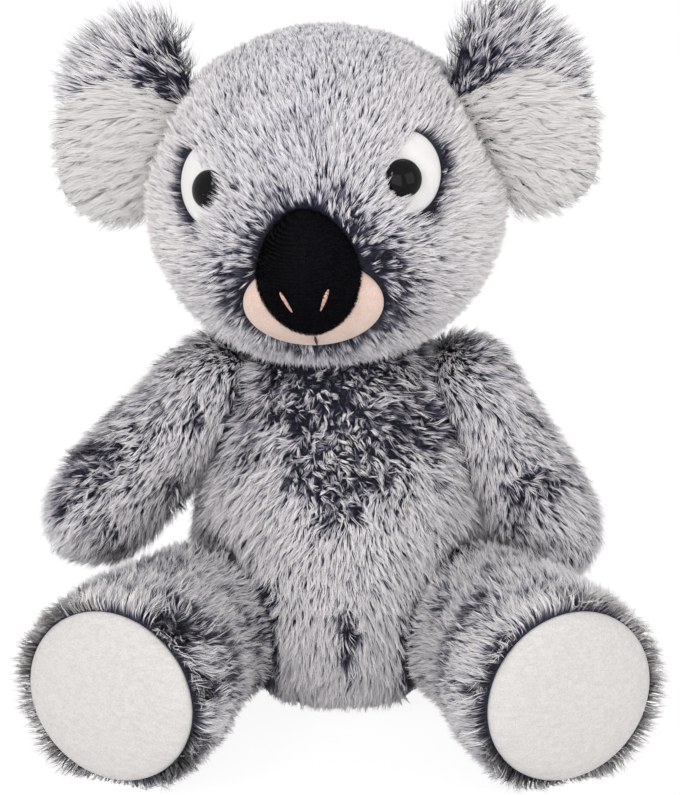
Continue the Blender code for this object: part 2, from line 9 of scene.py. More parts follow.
import bpy
import numpy as np
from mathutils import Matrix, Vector


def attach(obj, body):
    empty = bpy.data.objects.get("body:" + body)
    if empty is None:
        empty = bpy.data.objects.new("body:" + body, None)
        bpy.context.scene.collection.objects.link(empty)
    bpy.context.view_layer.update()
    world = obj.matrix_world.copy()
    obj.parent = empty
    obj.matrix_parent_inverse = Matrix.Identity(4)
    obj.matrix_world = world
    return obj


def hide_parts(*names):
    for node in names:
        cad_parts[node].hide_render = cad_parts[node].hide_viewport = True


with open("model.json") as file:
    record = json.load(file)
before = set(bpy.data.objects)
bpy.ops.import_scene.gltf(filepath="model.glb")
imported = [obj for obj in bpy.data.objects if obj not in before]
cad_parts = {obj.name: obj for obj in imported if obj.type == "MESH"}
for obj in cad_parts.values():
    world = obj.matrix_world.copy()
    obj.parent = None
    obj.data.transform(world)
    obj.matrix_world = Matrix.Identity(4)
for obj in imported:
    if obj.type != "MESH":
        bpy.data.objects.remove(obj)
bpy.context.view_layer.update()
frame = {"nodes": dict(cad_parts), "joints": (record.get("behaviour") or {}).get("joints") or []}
MM = 0.001

# The studio: a pale floor under a white surround, a strong lamp at the upper left, a wide soft
# one low in front, weaker ones at the right and behind, and a camera that looks slightly down.
camera_distance = 1.0
camera_rise = math.radians(15.0)
camera_target = np.array([0.0, 0.0, 0.118])
camera_reach = 10.0
film_width = 36.0
photo_height = 795
photo_pixel = 0.338 * MM
target_above_middle = 48.5 * photo_pixel
lamps = (
    # name, place, size, watts
    ("key", (-0.75, -1.15, 1.25), 0.4, 8.0),
    ("front", (-0.12, -1.60, 0.30), 1.8, 20.0),
    ("fill", (1.35, -0.80, 0.60), 0.9, 4.0),
    ("back", (0.10, 1.10, 1.40), 0.9, 5.0),
)
pure_white = (1.0, 1.0, 1.0, 1.0)
surround_strength = 0.65
floor_half = 4.0
floor_look = (0.86, 0.86, 0.87, 1.0)
floor_rough = 0.9
floor_glow_share = 0.88
floor_glow = 1.05


def link(tree, value, socket):
    """Joins a socket or sets a value."""
    if isinstance(value, bpy.types.NodeSocket):
        tree.links.new(value, socket)
    else:
        socket.default_value = value


def node(tree, kind, settings=None, **inputs):
    """A shader node with its settings, and its inputs by name or by number as i0, i1, ..."""
    made = tree.nodes.new("ShaderNode" + kind)
    for name, value in (settings or {}).items():
        setattr(made, name, value)
    for name, value in inputs.items():
        numbered = name[0] == "i" and name[1:].isdigit()
        link(tree, value, made.inputs[int(name[1:]) if numbered else name.replace("_", " ")])
    return made


def math_node(tree, kind, first, second):
    """A sum, product or other reckoning of two values."""
    return node(tree, "Math", {"operation": kind}, i0=first, i1=second).outputs[0]


def seen_white(tree):
    """1 for a ray from the camera, or one that a mirror or a glass sends on."""
    path = node(tree, "LightPath").outputs
    shiny = math_node(tree, "MAXIMUM", path["Is Glossy Ray"], path["Is Transmission Ray"])
    return math_node(tree, "MAXIMUM", path["Is Camera Ray"], shiny)


def in_scene(name, data):
    """A new object of the data, in the scene."""
    made = bpy.data.objects.new(name, data)
    bpy.context.scene.collection.objects.link(made)
    return made


def look_along(made, way):
    """Turns a camera or a lamp to look along a way."""
    made.rotation_mode = "QUATERNION"
    made.rotation_quaternion = Vector(way).to_track_quat("-Z", "Y")


up = np.array([0.0, math.sin(camera_rise), math.cos(camera_rise)])
back = np.array([0.0, -math.cos(camera_rise), math.sin(camera_rise)])
camera = in_scene("camera", bpy.data.cameras.new("camera"))
camera.location = camera_target + back * camera_distance
look_along(camera, camera_target - up * target_above_middle - np.array(camera.location))
camera.data.sensor_width = film_width
camera.data.lens = film_width * camera_distance / (photo_height * photo_pixel)
camera.data.clip_end = camera_reach
bpy.context.scene.camera = camera

for name, place, size, watts in lamps:
    lamp = in_scene(name, bpy.data.lights.new(name, "AREA"))
    lamp.data.energy = watts
    lamp.data.size = size
    lamp.location = place
    look_along(lamp, camera_target - np.array(place))

world = bpy.data.worlds.new("surround")
bpy.context.scene.world = world
world.use_nodes = True
tree = world.node_tree
strength = node(tree, "MapRange", None, Value=seen_white(tree), To_Min=surround_strength, To_Max=1.0)
ground = tree.nodes["Background"]
ground.inputs["Color"].default_value = pure_white
link(tree, strength.outputs[0], ground.inputs["Strength"])
bpy.context.scene.view_settings.view_transform = "Standard"


def new_finish(name, rough, sheen=0.0, sheen_rough=0.5, specular=0.5):
    """A Principled material with its roughness, sheen and gloss set on the shader's own sockets."""
    made = bpy.data.materials.new(name)
    made.use_nodes = True
    shader = made.node_tree.nodes["Principled BSDF"]
    shader.inputs["Roughness"].default_value = rough
    shader.inputs["Sheen Weight"].default_value = sheen
    shader.inputs["Sheen Roughness"].default_value = sheen_rough
    shader.inputs["Specular IOR Level"].default_value = specular
    return made, made.node_tree, shader


floor_corners = [(x * floor_half, y * floor_half, 0.0) for x, y in ((-1, -1), (1, -1), (1, 1), (-1, 1))]
floor_mesh = bpy.data.meshes.new("floor")
floor_mesh.from_pydata(floor_corners, [], [(0, 1, 2, 3)])
floor = in_scene("floor", floor_mesh)
floor_finish, tree, shader = new_finish("pale_floor", floor_rough)
shader.inputs["Base Color"].default_value = floor_look
glow = node(tree, "Emission", None, Color=pure_white, Strength=floor_glow)
share = math_node(tree, "MULTIPLY", seen_white(tree), floor_glow_share)
mixed = node(tree, "MixShader", None, i0=share, i1=shader.outputs[0], i2=glow.outputs[0])
link(tree, mixed.outputs[0], tree.nodes["Material Output"].inputs["Surface"])
floor_mesh.materials.append(floor_finish)

# The head: a nearly round cover of tipped plush over fibre, with a swollen muzzle and a small
# flat place for each ear. It is sewn from a middle gusset and two cheeks, which meet under fur.
joint_at = {joint["name"]: np.array(joint["pos_m"]) for joint in frame["joints"]}
head_place = joint_at["head_nod"]
head_yaw = math.radians(-6.4)
head_roll = math.radians(-4.6)
head_half_sizes = np.array([57.0, 54.5, 54.5]) * MM
muzzle_swell = 6.0 * MM
muzzle_drop = math.radians(14.0)
muzzle_spread = math.radians(30.0)
ear_seat_distance = 51.5 * MM
ear_rises = {1: math.radians(24.5), -1: math.radians(28.0)}
ear_outs = {side: np.array([side * math.cos(rise), 0.0, math.sin(rise)]) for side, rise in ear_rises.items()}
side_names = {1: "left", -1: "right"}
gap = 0.3 * MM
tiny = 1e-12


def unit(ways):
    """Ways of length one."""
    return ways / np.maximum(np.linalg.norm(ways, axis=-1, keepdims=True), tiny)


def aimed(way, side):
    """Rows x, y and z of a frame whose z is the way and whose x lies as near the side as it can."""
    z = unit(np.asarray(way, float))
    x = unit(np.asarray(side, float) - z * np.dot(side, z))
    return np.array([x, np.cross(z, x), z])


def turned(axis, angle):
    """The rows of a turn by an angle about X, Y or Z, which are numbered from 0."""
    rows = np.eye(3)
    first, second = (axis + 1) % 3, (axis + 2) % 3
    rows[first, first] = rows[second, second] = math.cos(angle)
    rows[second, first] = math.sin(angle)
    rows[first, second] = -math.sin(angle)
    return rows


def ahead(drop):
    """The way to the front, lowered by an angle."""
    return np.array([0.0, -math.cos(drop), -math.sin(drop)])


head_axes = (turned(2, head_yaw) @ turned(1, head_roll)).T
muzzle_way = ahead(muzzle_drop)


def head_surface(ways):
    """Where rays from the middle of the head meet its cover.

    An ellipsoid, swollen by a bell curve of the angle from the muzzle's way, and cut flat at
    a set distance along each ear's way.
    """
    ways = unit(ways)
    points = ways / np.linalg.norm(ways / head_half_sizes, axis=-1, keepdims=True)
    away = np.arccos(np.clip(ways @ muzzle_way, -1.0, 1.0)) / muzzle_spread
    points = points + ways * (muzzle_swell * np.exp(-away * away))[..., None]
    for out in ear_outs.values():
        over = np.maximum(points @ out - ear_seat_distance, 0.0)
        points = points - out * over[..., None]
    return points


def to_head(points):
    """Places in the head's own frame."""
    return (points - head_place) @ head_axes.T


def from_head(points):
    """Places in the head's own frame, carried to the shared frame."""
    return points @ head_axes + head_place


def past_head(local):
    """How far places in the head's own frame lie outside its cover, along the ray to its middle."""
    return np.linalg.norm(local, axis=-1) - np.linalg.norm(head_surface(local), axis=-1)


def inside_head(points, clear=0.0):
    """Whether places lie inside the head's cover, moved out by the clearance."""
    return past_head(to_head(points)) < clear


def turns(columns):
    """Angles evenly round a circle, as one row."""
    return np.linspace(0.0, 2.0 * math.pi, columns, endpoint=False)[None, :]


def ball(rows, columns):
    """Unit ways over a sphere: rows from the pole at -Z to the pole at +Z, columns round it."""
    rise = np.linspace(-math.pi / 2.0, math.pi / 2.0, rows)[:, None]
    turn = turns(columns)
    flat = np.cos(rise)
    flat[[0, -1]] = 0.0
    return np.stack([flat * np.cos(turn), flat * np.sin(turn), np.sin(rise) + 0.0 * turn], -1)


def fill_mesh(name, points, corners, counts):
    """A mesh from its points, the point numbers round its faces and the corners of each face."""
    mesh = bpy.data.meshes.new(name)
    mesh.vertices.add(len(points))
    mesh.vertices.foreach_set("co", np.ascontiguousarray(points, np.float32).ravel())
    mesh.loops.add(len(corners))
    mesh.loops.foreach_set("vertex_index", np.ascontiguousarray(corners, np.int32))
    mesh.polygons.add(len(counts))
    mesh.polygons.foreach_set("loop_start", (np.cumsum(counts) - counts).astype(np.int32))
    mesh.update(calc_edges=True)
    mesh.shade_smooth()
    return in_scene(name, mesh)


def closed_skin(name, grid):
    """A closed mesh of a grid whose first and last rows each lie at one point.

    Across the columns and then along the rows is a right-handed turn that points outwards.
    """
    rows, columns = grid.shape[:2]
    points = np.vstack([grid[0, :1], grid[1:-1].reshape(-1, 3), grid[-1, :1]])
    here = 1 + np.arange((rows - 2) * columns).reshape(rows - 2, columns)
    after = np.roll(here, -1, axis=1)
    quads = np.stack([here[:-1], after[:-1], after[1:], here[1:]], -1).reshape(-1)
    first = np.stack([0 * here[0], after[0], here[0]], -1).reshape(-1)
    last = np.stack([0 * here[0] + len(points) - 1, here[-1], after[-1]], -1).reshape(-1)
    counts = np.concatenate([np.full(len(quads) // 4, 4), np.full(2 * columns, 3)])
    return fill_mesh(name, points, np.concatenate([quads, first, last]), counts)


def settle(piece, body, slot, finish, *nodes, fill=None):
    """Gives a piece its finish and its body, and hides the nodes it stands for; the slot and the stuffing
    are not used.
    """
    piece.data.materials.append(finish)
    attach(piece, body)
    if nodes:
        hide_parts(*nodes)
    return piece


def skin(name, grid, body, slot, finish, *nodes, fill=None):
    """A closed skin of a grid, finished and settled in its place."""
    settle(closed_skin(name, grid), body, slot, finish, *nodes, fill=fill)


def shade(red, green, blue):
    """The linear colour of a screen colour out of 255."""
    return (*(((c / 255.0 + 0.055) / 1.055) ** 2.4 for c in (red, green, blue)), 1.0)


def ramp(tree, value, *stops):
    """A colour that runs through stops of a place and a screen colour out of 255."""
    made = node(tree, "ValToRGB", None, i0=value)
    band = made.color_ramp.elements
    while len(band) < len(stops):
        band.new(0.5)
    for stop, (place, colour) in zip(band, stops):
        stop.position = place
        stop.color = shade(*colour)
    return made.outputs[0]


def blended(tree, kind, factor, first, second):
    """Two colours mixed, multiplied or otherwise blended."""
    made = node(tree, "Mix", {"data_type": "RGBA", "blend_type": kind}, i0=factor, i6=first, i7=second)
    return made.outputs[2]


def speckle(tree, size, detail=3.0, stretch=(1.0, 1.0, 1.0)):
    """Soft noise on Object coordinates, from 0 to 1, with grains of that size."""
    where = node(tree, "TexCoord").outputs["Object"]
    drawn = node(tree, "Mapping", None, Vector=where, Scale=tuple(s / size for s in stretch))
    return node(tree, "TexNoise", None, Vector=drawn.outputs[0], Scale=1.0, Detail=detail).outputs[0]


def raised(tree, shader, height, distance):
    """Bump of a height from 0 to 1."""
    bump = node(tree, "Bump", None, Strength=1.0, Distance=distance, Height=height)
    link(tree, bump.outputs[0], shader.inputs["Normal"])


def flecked(name, rough, flecks, dark, pale, grain=None, bump=0.0, pale_from=0.7, **look):
    """A finish in soft flecks of a dark and a pale colour, with grains that stand up as bump.

    flecks and grain are each the size of the noise and, where it isn't the usual one, its detail.
    """
    finish, tree, shader = new_finish(name, rough, **look)
    colour = ramp(tree, speckle(tree, *flecks), (0.3, dark), (pale_from, pale))
    link(tree, colour, shader.inputs["Base Color"])
    if grain:
        raised(tree, shader, speckle(tree, *grain), bump)
    return finish


knit = (0.7 * MM,)
knit_height = 0.3 * MM
backing = flecked("knitted_backing", 0.95, knit, (24, 24, 36), (44, 44, 58), knit, knit_height)
head_grid = from_head(head_surface(ball(73, 108)))
skin("head_cover", head_grid, "head", "grey_plush", backing, "head_skin", "head_stuffing", fill=0.9)

# The plush: a pile of thin fibres, dyed dark at the root and pale at the tip. It is grown on
# the covers in tufts and locks that are combed one way, and lies parted or ruffled in places.
hash_primes = np.array([73856093, 19349663, 83492791], np.uint32)
hash_seed_prime = 2654435761
hash_rounds = ((13, 1274126177), (15, 2246822519))
hash_last_shift = 16


def lattice(cells, seed):
    """A fixed number from 0 to 1 for each whole cell, hashed from its three counts and the seed."""
    counts = cells.astype(np.int64).astype(np.uint32) * hash_primes
    mixed = np.bitwise_xor.reduce(counts, axis=-1) ^ np.uint32(seed * hash_seed_prime % 2 ** 32)
    for shift, prime in hash_rounds:
        mixed = (mixed ^ (mixed >> np.uint32(shift))) * np.uint32(prime)
    return (mixed ^ (mixed >> np.uint32(hash_last_shift))) / 2.0 ** 32


def drift(points, size, seed):
    """Smooth noise from -1 to 1: the lattice's numbers at the corners of cubes, eased between."""
    low = np.floor(points / size)
    part = points / size - low
    ease = part * part * (3.0 - 2.0 * part)
    total = np.zeros(points.shape[:-1])
    for corner in itertools.product((0, 1), repeat=3):
        weight = np.prod(np.where(corner, ease, 1.0 - ease), axis=-1)
        total += weight * lattice(low + corner, seed)
    return 2.0 * total - 1.0


def tufts(points, size, seed):
    """The nearest of one scattered middle per cube of that size, and three numbers of its own."""
    low = np.floor(points / size)
    best = np.full(len(points), np.inf)
    middle = np.zeros_like(points)
    home = np.zeros_like(points)
    for step in itertools.product((-1, 0, 1), repeat=3):
        cell = low + step
        place = (cell + np.stack([lattice(cell, seed + k) for k in (1, 2, 3)], -1)) * size
        away = np.sum((points - place) ** 2, axis=-1)
        closer = away < best
        best = np.where(closer, away, best)
        middle = np.where(closer[:, None], place, middle)
        home = np.where(closer[:, None], cell, home)
    return middle, [lattice(home, seed + k) - 0.5 for k in (4, 5, 6)]


def facings(grid):
    """Unit normals: across the columns times along the rows, and at a pole the mean beside it."""
    way = np.cross(np.roll(grid, -1, 1) - np.roll(grid, 1, 1), np.gradient(grid, axis=0))
    way[0] = way[1].sum(0)
    way[-1] = way[-2].sum(0)
    return unit(way)


def scatter(grid, per_area, rng):
    """Places spread evenly over a grid's surface, and the ways that it faces there.

    Each quad takes its share of the places by its area, half the cross product of its
    diagonals, and two random shares blend its four corners.
    """
    both = np.concatenate([grid, facings(grid)], -1)
    a, b = both[:-1], np.roll(both, -1, 1)[:-1]
    d, c = both[1:], np.roll(both, -1, 1)[1:]
    area = np.linalg.norm(np.cross((c - a)[..., :3], (d - b)[..., :3]), axis=-1).ravel() / 2.0
    total = np.cumsum(area)
    count = int(total[-1] * per_area)
    picks = np.searchsorted(total, (np.arange(count) + rng.random(count)) / count * total[-1])
    picks = np.minimum(picks, len(area) - 1)
    u, v = rng.random((2, count, 1))
    a, b, c, d = (side.reshape(-1, 6)[picks] for side in (a, b, c, d))
    found = (a * (1 - u) + b * u) * (1 - v) + (d * (1 - u) + c * u) * v
    return found[:, :3], unit(found[:, 3:])


def across_facing(ways, facing):
    """The part of some ways that lies along the surface."""
    return ways - facing * np.sum(ways * facing, -1, keepdims=True)


# A fibre, from its root to its tip, and how much each thing that befalls it changes it
fibre_stations = np.array([0.0, 0.5, 1.0])
fibre_width_shares = np.array([1.0, 0.85])
fibre_lifts = np.radians([68.0, 30.0])
fibre_faces = np.array([1, 0, 2, 3, 3, 2, 4])
fibre_corners = np.array([4, 3])
fibre_map_sides = np.array([1.0, -1.0, -1.0, 1.0, 1.0, -1.0, 0.0]) * 0.0015
fibre_least_rise = 0.02
fibre_most_rise = 1.5
tip_draw_power = 1.4
root_depth = 0.2 * MM
floor_clear = 0.3 * MM
floor_clear_shares = (0.4, 1.6)
spread_turn, spread_lean, spread_length = 0.09, 0.07, 0.12
spread_roll, spread_tone, spread_tint = 0.7, 0.06, 0.30
rough_noise = (4.0 * MM, 61)
twist_noise = (5.0 * MM, 71)
length_noise = (9.0 * MM, 31)
tone_noise = (12.0 * MM, 41)
rough_noise_share = 0.7
parted_turn = 0.7
twist_shares = (2.0, 1.6)
length_noise_share = 0.14
rough_lean, rough_sunk, rough_lock_tone = 0.2, 0.42, 0.3
press_length, press_lean = 0.6, 0.5
tall_length, tall_lean = 0.5, 0.3
sunk_length, sunk_tone = 0.4, 0.3
root_tone_share = 0.35
warm_roots = 0.42
warm_tint = 0.35
palest_root = 0.50
least_dye_run = 0.18
dye_low, dye_high = 0.01, 0.99
plush = {
    "per_mm2": 3.9, "length": 7.2 * MM, "half_width": 0.15 * MM, "lift": 0.0, "stand": 0.0,
    "tuft": 1.3 * MM, "pull": 0.65, "lock": 4.5 * MM, "lock_pull": 0.10, "sunk": 0.05,
    "swirl": 0.35, "swirl_size": 16.0 * MM, "tuft_turn": 0.6, "tuft_lift": 0.5, "tuft_length": 0.4,
    "roots": 0.06, "tips": 0.98, "tuft_tone": 0.22, "lock_tone": 0.10, "patch_tone": 0.08,
    # The last share on the next line darkens the dye where a neighbour presses on the fur: painted shade in
    # the creases between parts.
    "warm_tone": 0.0, "ruffle": 1.0, "ruffle_dark": 0.35, "ruffle_tone": 0.7, "press_painted_shade": 0.45,
    "tuft_shade": 0.5,
}


def grow_fur(name, body, slot, dye, grid, comb, keep, coat, seed, parted=(), **areas):
    """Fur of thin tapering fibres, each a quad and a triangle, combed over a grid's surface.

    A fibre starts steep and lies down towards its tip along the comb's way, but stands where
    that way leaves the surface. Its tip is drawn to the middle of its tuft, and weakly to the
    middle of a wider lock. Noise turns the comb's way and changes length, and each tuft has a
    turn, a lift, a length and a tone of its own. Round a parted place (a point, a radius and a
    strength), and in the ruffled area, the tufts turn every way and some stay dark. In the
    pressed area the fur is short, and its dye is darker, which is painted shade where a
    neighbour presses on it, or paler, which is painted light, as the coat says. In the warm
    area its roots are paler, and in the tall area it stands up longer. Each area is a function
    from roots to shares. The map's v is the dye along the fibre, and its u is the tint.
    """
    coat = {**plush, **coat}
    rng = np.random.default_rng(seed)
    roots, facing = scatter(grid, coat["per_mm2"] / MM ** 2, rng)
    kept = keep(roots)
    roots, facing = roots[kept], facing[kept]
    count = len(roots)
    none = np.zeros(count)
    rough, press, warm, tall = (
        areas[area](roots) if area in areas else none for area in ("ruffled", "pressed", "warm", "tall")
    )
    away = np.zeros_like(roots)
    for spot, radius, power in parted:
        spot = np.array(spot) * MM
        weight = power * np.exp(-np.sum((roots - spot) ** 2, axis=-1) / (radius * MM) ** 2)
        rough = rough + weight
        away += unit(roots - spot) * weight[:, None]
    rough = np.clip(rough * (1.0 + rough_noise_share * drift(roots, *rough_noise)), 0.0, 1.0)
    middle, own = tufts(roots, coat["tuft"], 11)
    lock, lock_own = tufts(roots, coat["lock"], 51)
    sunk = own[2] < coat["sunk"] + rough_sunk * rough - 0.5

    way = unit(comb(roots))
    leaving = np.maximum(np.sum(way * facing, -1), 0.0)
    way = unit(across_facing(way + away * parted_turn, facing))
    side = np.cross(facing, way)
    turn = coat["swirl"] * (drift(roots, coat["swirl_size"], 21) + lock_own[0])
    twist = twist_shares[0] * drift(roots, *twist_noise) + twist_shares[1] * own[0]
    turn = turn + coat["ruffle"] * rough * twist
    turn = (turn + coat["tuft_turn"] * own[0] + rng.normal(0.0, spread_turn, count))[:, None]
    way, side = way * np.cos(turn) + side * np.sin(turn), side * np.cos(turn) - way * np.sin(turn)

    length = 1.0 + length_noise_share * drift(roots, *length_noise) + coat["tuft_length"] * own[1]
    length = length + rng.uniform(-spread_length, spread_length, count)
    length = length * (1.0 - press_length * press) * np.where(sunk, sunk_length, 1.0)
    length = coat["length"] * (length * (1.0 + tall_length * tall))[:, None]
    lean = coat["lift"] + coat["tuft_lift"] * own[2] + rough_lean * rough - press_lean * press
    lean = lean + tall_lean * tall + coat["stand"] * leaving
    lean = (lean + rng.normal(0.0, spread_lean, count))[:, None]
    points = [roots - facing * root_depth]
    for lift in fibre_lifts:
        rise = np.clip(lift + lean, fibre_least_rise, fibre_most_rise)
        step = (way * np.cos(rise) + facing * np.sin(rise)) * length / len(fibre_lifts)
        points.append(points[-1] + step)
    points = np.array(points)
    for place, pull in ((middle, coat["pull"]), (lock, coat["lock_pull"])):
        flat = across_facing(place - roots, facing)
        points += pull * (fibre_stations ** tip_draw_power)[:, None, None] * flat
    points[..., 2] = np.maximum(points[..., 2], floor_clear * rng.uniform(*floor_clear_shares, count))

    roll = rng.uniform(-spread_roll, spread_roll, (count, 1))
    across = (side * np.cos(roll) + facing * np.sin(roll)) * coat["half_width"]
    across = across * fibre_width_shares[:, None, None]
    lefts, rights = points[:2] - across, points[:2] + across
    ribbon = np.stack([lefts[0], rights[0], lefts[1], rights[1], points[2]], 1)
    per_fibre = ribbon.shape[1]
    corners = (fibre_faces + per_fibre * np.arange(count)[:, None]).ravel()
    made = fill_mesh(name, ribbon.reshape(-1, 3), corners, np.tile(fibre_corners, count))
    spread = across_facing(roots - middle, facing)
    shading = unit(facing + coat["tuft_shade"] * spread / coat["tuft"] * 2.0)
    layer = made.data.attributes.new("custom_normal", "FLOAT_VECTOR", "POINT")
    layer.data.foreach_set("vector", np.repeat(shading, per_fibre, axis=0).astype(np.float32).ravel())

    tone = coat["tuft_tone"] * own[1] + coat["patch_tone"] * drift(roots, *tone_noise)
    tone = tone + rng.uniform(-spread_tone, spread_tone, count) + coat["lock_tone"] * lock_own[1]
    ruffled_tone = coat["ruffle_tone"] * own[0] + rough_lock_tone * lock_own[2] - coat["ruffle_dark"]
    # Painted shade: the dye is darker where a neighbour presses on the fur, or paler, which is painted
    # light, where the coat's share is below 0.
    tone = tone + rough * ruffled_tone - coat["press_painted_shade"] * press - sunk_tone * sunk
    tone = tone + coat["warm_tone"] * warm
    low = coat["roots"] + root_tone_share * tone + warm_roots * np.maximum(warm, 0.0)
    low = np.clip(low, dye_low, palest_root)
    high = np.clip(coat["tips"] + tone, low + least_dye_run, dye_high)
    tint = 0.5 + warm_tint * warm + rng.uniform(-spread_tint, spread_tint, count)
    u = np.clip(tint, dye_low, dye_high)[:, None] + fibre_map_sides
    v = low[:, None] + (high - low)[:, None] * fibre_stations[fibre_faces // 2]
    layer = made.data.uv_layers.new(name="OFBake")
    layer.data.foreach_set("uv", np.stack([u, v], -1).astype(np.float32).ravel())
    return settle(made, body, slot, dye)


def fur_dye(name, tint_cool, tint_warm, *stops, sheen=0.2, specular=0.25):
    """The dye of a fibre from its root at v = 0 to its tip at v = 1, tinted across u."""
    finish, tree, shader = new_finish(name, 0.75, sheen, 0.4, specular)
    spot = node(tree, "UVMap", {"uv_map": "OFBake"}).outputs[0]
    spot = node(tree, "SeparateXYZ", None, Vector=spot).outputs
    dye = ramp(tree, spot["Y"], *stops)
    tint = blended(tree, "MIX", spot["X"], (*tint_cool, 1.0), (*tint_warm, 1.0))
    link(tree, blended(tree, "MULTIPLY", 1.0, dye, tint), shader.inputs["Base Color"])
    return finish


tipped_dye = fur_dye(
    "tipped_plush", (0.95, 0.93, 0.965), (1.0, 0.97, 0.93),
    (0.0, (28, 28, 42)), (0.26, (42, 42, 60)), (0.42, (112, 112, 128)),
    (0.55, (204, 203, 209)), (0.75, (236, 235, 238)), (1.0, (250, 249, 249)),
)

# The eyes: a white felt oval sewn on the cover, and a domed black eye whose shank goes through
# it and is held inside the head by a washer.
eye_side = math.radians(33.0)
eye_rise = math.radians(13.0)
eye_white_half_sizes = np.array([12.0, 14.0]) * MM
eye_white_thickness = 1.6 * MM
eye_white_out = 3.6 * MM
eye_white_up = 2.6 * MM
eye_white_tilt = math.radians(14.0)
pupil_radius = 6.2 * MM
pupil_dome = 3.4 * MM
pupil_rim = 0.8 * MM
pupil_bevel = 0.2 * MM
shank_radius = 1.6 * MM
shank_length = 10.0 * MM
face_step = math.radians(0.5)


def on_face(side, rise):
    """The point of the head's cover at an angle to the side and an angle up, in the head's frame."""
    across, forward = math.sin(side) * math.cos(rise), math.cos(side) * math.cos(rise)
    return head_surface(np.array([across, -forward, math.sin(rise)]))


def square_to_face(side, rise):
    """The way that the cover faces there: across its sideways step times its upward step."""
    place = on_face(side, rise)
    return unit(np.cross(on_face(side + face_step, rise) - place, on_face(side, rise + face_step) - place))


def spun(x, y, angle):
    """x and y turned by an angle."""
    return x * math.cos(angle) - y * math.sin(angle), x * math.sin(angle) + y * math.cos(angle)


def pad_grid(lay, thick, rounds=9, spokes=48, blunt=6.0):
    """A closed pad, from the middle of its flat underside to its edge and back over its top.

    The top rises to thick times (1 - rho ^ blunt) ^ (1/2), where rho runs from 0 in the middle
    to 1 at the edge. lay carries the two shares of the outline and the height to places.
    """
    rho = np.sin(np.linspace(0.0, math.pi / 2.0, rounds))
    rho = np.concatenate([rho, rho[-2::-1]])[:, None]
    turn = turns(spokes)
    on_top = (np.arange(2 * rounds - 1) >= rounds - 1)[:, None]
    height = np.where(on_top, thick * np.sqrt(1.0 - np.minimum(rho, 1.0) ** blunt), 0.0)
    return lay(rho * np.cos(turn), rho * np.sin(turn), height + 0.0 * turn)


def loft(rows, columns):
    """A grid of ovals along Z, one for each row of z, half x, half y, shift x and shift y.

    Where a row has next to no size it is an exact pole.
    """
    turn = turns(columns)
    z, wide, deep, shift_x, shift_y = rows.T[:, :, None]
    wide, deep = (np.where(np.abs(half) < tiny, 0.0, half) for half in (wide, deep))
    return np.stack([wide * np.cos(turn) + shift_x, deep * np.sin(turn) + shift_y, z + 0.0 * turn], -1)


felt = flecked(
    "white_felt", 0.85, (5.0 * MM,), (216, 213, 212), (223, 221, 220), (0.35 * MM, 4.0), 0.12 * MM, sheen=0.2
)
black_eye = flecked("black_eye", 0.05, (3.0 * MM,), (9, 8, 9), (16, 14, 14), specular=0.12)
eyes = {}
for side, name in side_names.items():
    eye_axes = aimed(square_to_face(side * eye_side, eye_rise), (side, 0.0, 0.0))
    eye_place = on_face(side * eye_side, eye_rise)
    tilt = -side * eye_white_tilt
    eyes[side] = eye_place, eye_axes, tilt

    def lay_white(across, along, height):
        """The tilted oval of the felt, laid on the head's cover at a height."""
        x, y = spun(across * eye_white_half_sizes[0], along * eye_white_half_sizes[1], tilt)
        x, y = x + eye_white_out, y + side * eye_white_up
        over = eye_place + x[..., None] * eye_axes[0] + y[..., None] * eye_axes[1]
        return from_head(head_surface(over) + unit(over) * (height + gap)[..., None])

    white_grid = pad_grid(lay_white, eye_white_thickness, 10, 64)
    skin(f"eye_{name}_felt", white_grid, "head", "white_felt", felt, f"eye_{name}_white")
    base = gap + eye_white_thickness + gap
    profile = [(base - shank_length, 0.0), (base - shank_length, shank_radius), (base, shank_radius)]
    profile += [(base, pupil_radius - pupil_bevel), (base + pupil_bevel, pupil_radius)]
    for angle in np.linspace(math.pi / 2.0, 0.0, 14):
        dome = pupil_dome * math.cos(angle)
        profile.append((base + pupil_rim + dome, pupil_radius * math.sin(angle)))
    rows = np.array([(height, radius, radius, 0.0, 0.0) for height, radius in profile])
    pupil_grid = from_head(loft(rows, 56) @ eye_axes + eye_place)
    skin(f"eye_{name}_black", pupil_grid, "head", "black_eye", black_eye, f"eye_{name}_pupil")

moulded = flecked(
    "washer_plastic", 0.45, (2.0 * MM,), (150, 150, 152), (164, 164, 166), (0.3 * MM,), 0.05 * MM
)
for name in side_names.values():
    washer = frame["nodes"][f"eye_{name}_washer"]
    washer.data.materials.clear()
    washer.data.materials.append(moulded)

# The nose: a stuffed cover of black cloth with a very short pile that lies in fine level
# creases, broad below and narrower above, sewn on the muzzle.
nose_drop = math.radians(12.5)
nose_half_sizes = np.array([32.5, 41.0, 30.0]) / 2.0 * MM
nose_sink = 1.0 * MM
nose_taper_above = 0.16
nose_taper_below = 0.15
crease_pitch = 1.1 * MM
crease_depth = 0.30 * MM
crease_wander = 0.9
crease_stretch = np.array([0.35, 1.0, 0.35])
nose_way = ahead(nose_drop)
nose_axes = aimed(nose_way, (1.0, 0.0, 0.0))
nose_place = on_face(0.0, -nose_drop) - nose_way * nose_sink


def on_muzzle(points):
    """Places in the head's frame, moved straight out of the head where they lie inside it."""
    reach = np.linalg.norm(points, axis=-1, keepdims=True)
    least = np.linalg.norm(head_surface(points), axis=-1, keepdims=True) + gap
    return unit(points) * np.maximum(reach, least)


def nose_width(y):
    """The nose's half width there: it narrows evenly to its top and, by a cube, to its lowest end."""
    share = y / nose_half_sizes[1]
    taper = nose_taper_above * np.maximum(share, 0.0) + nose_taper_below * np.maximum(-share, 0.0) ** 3
    return nose_half_sizes[0] * (1.0 - taper)


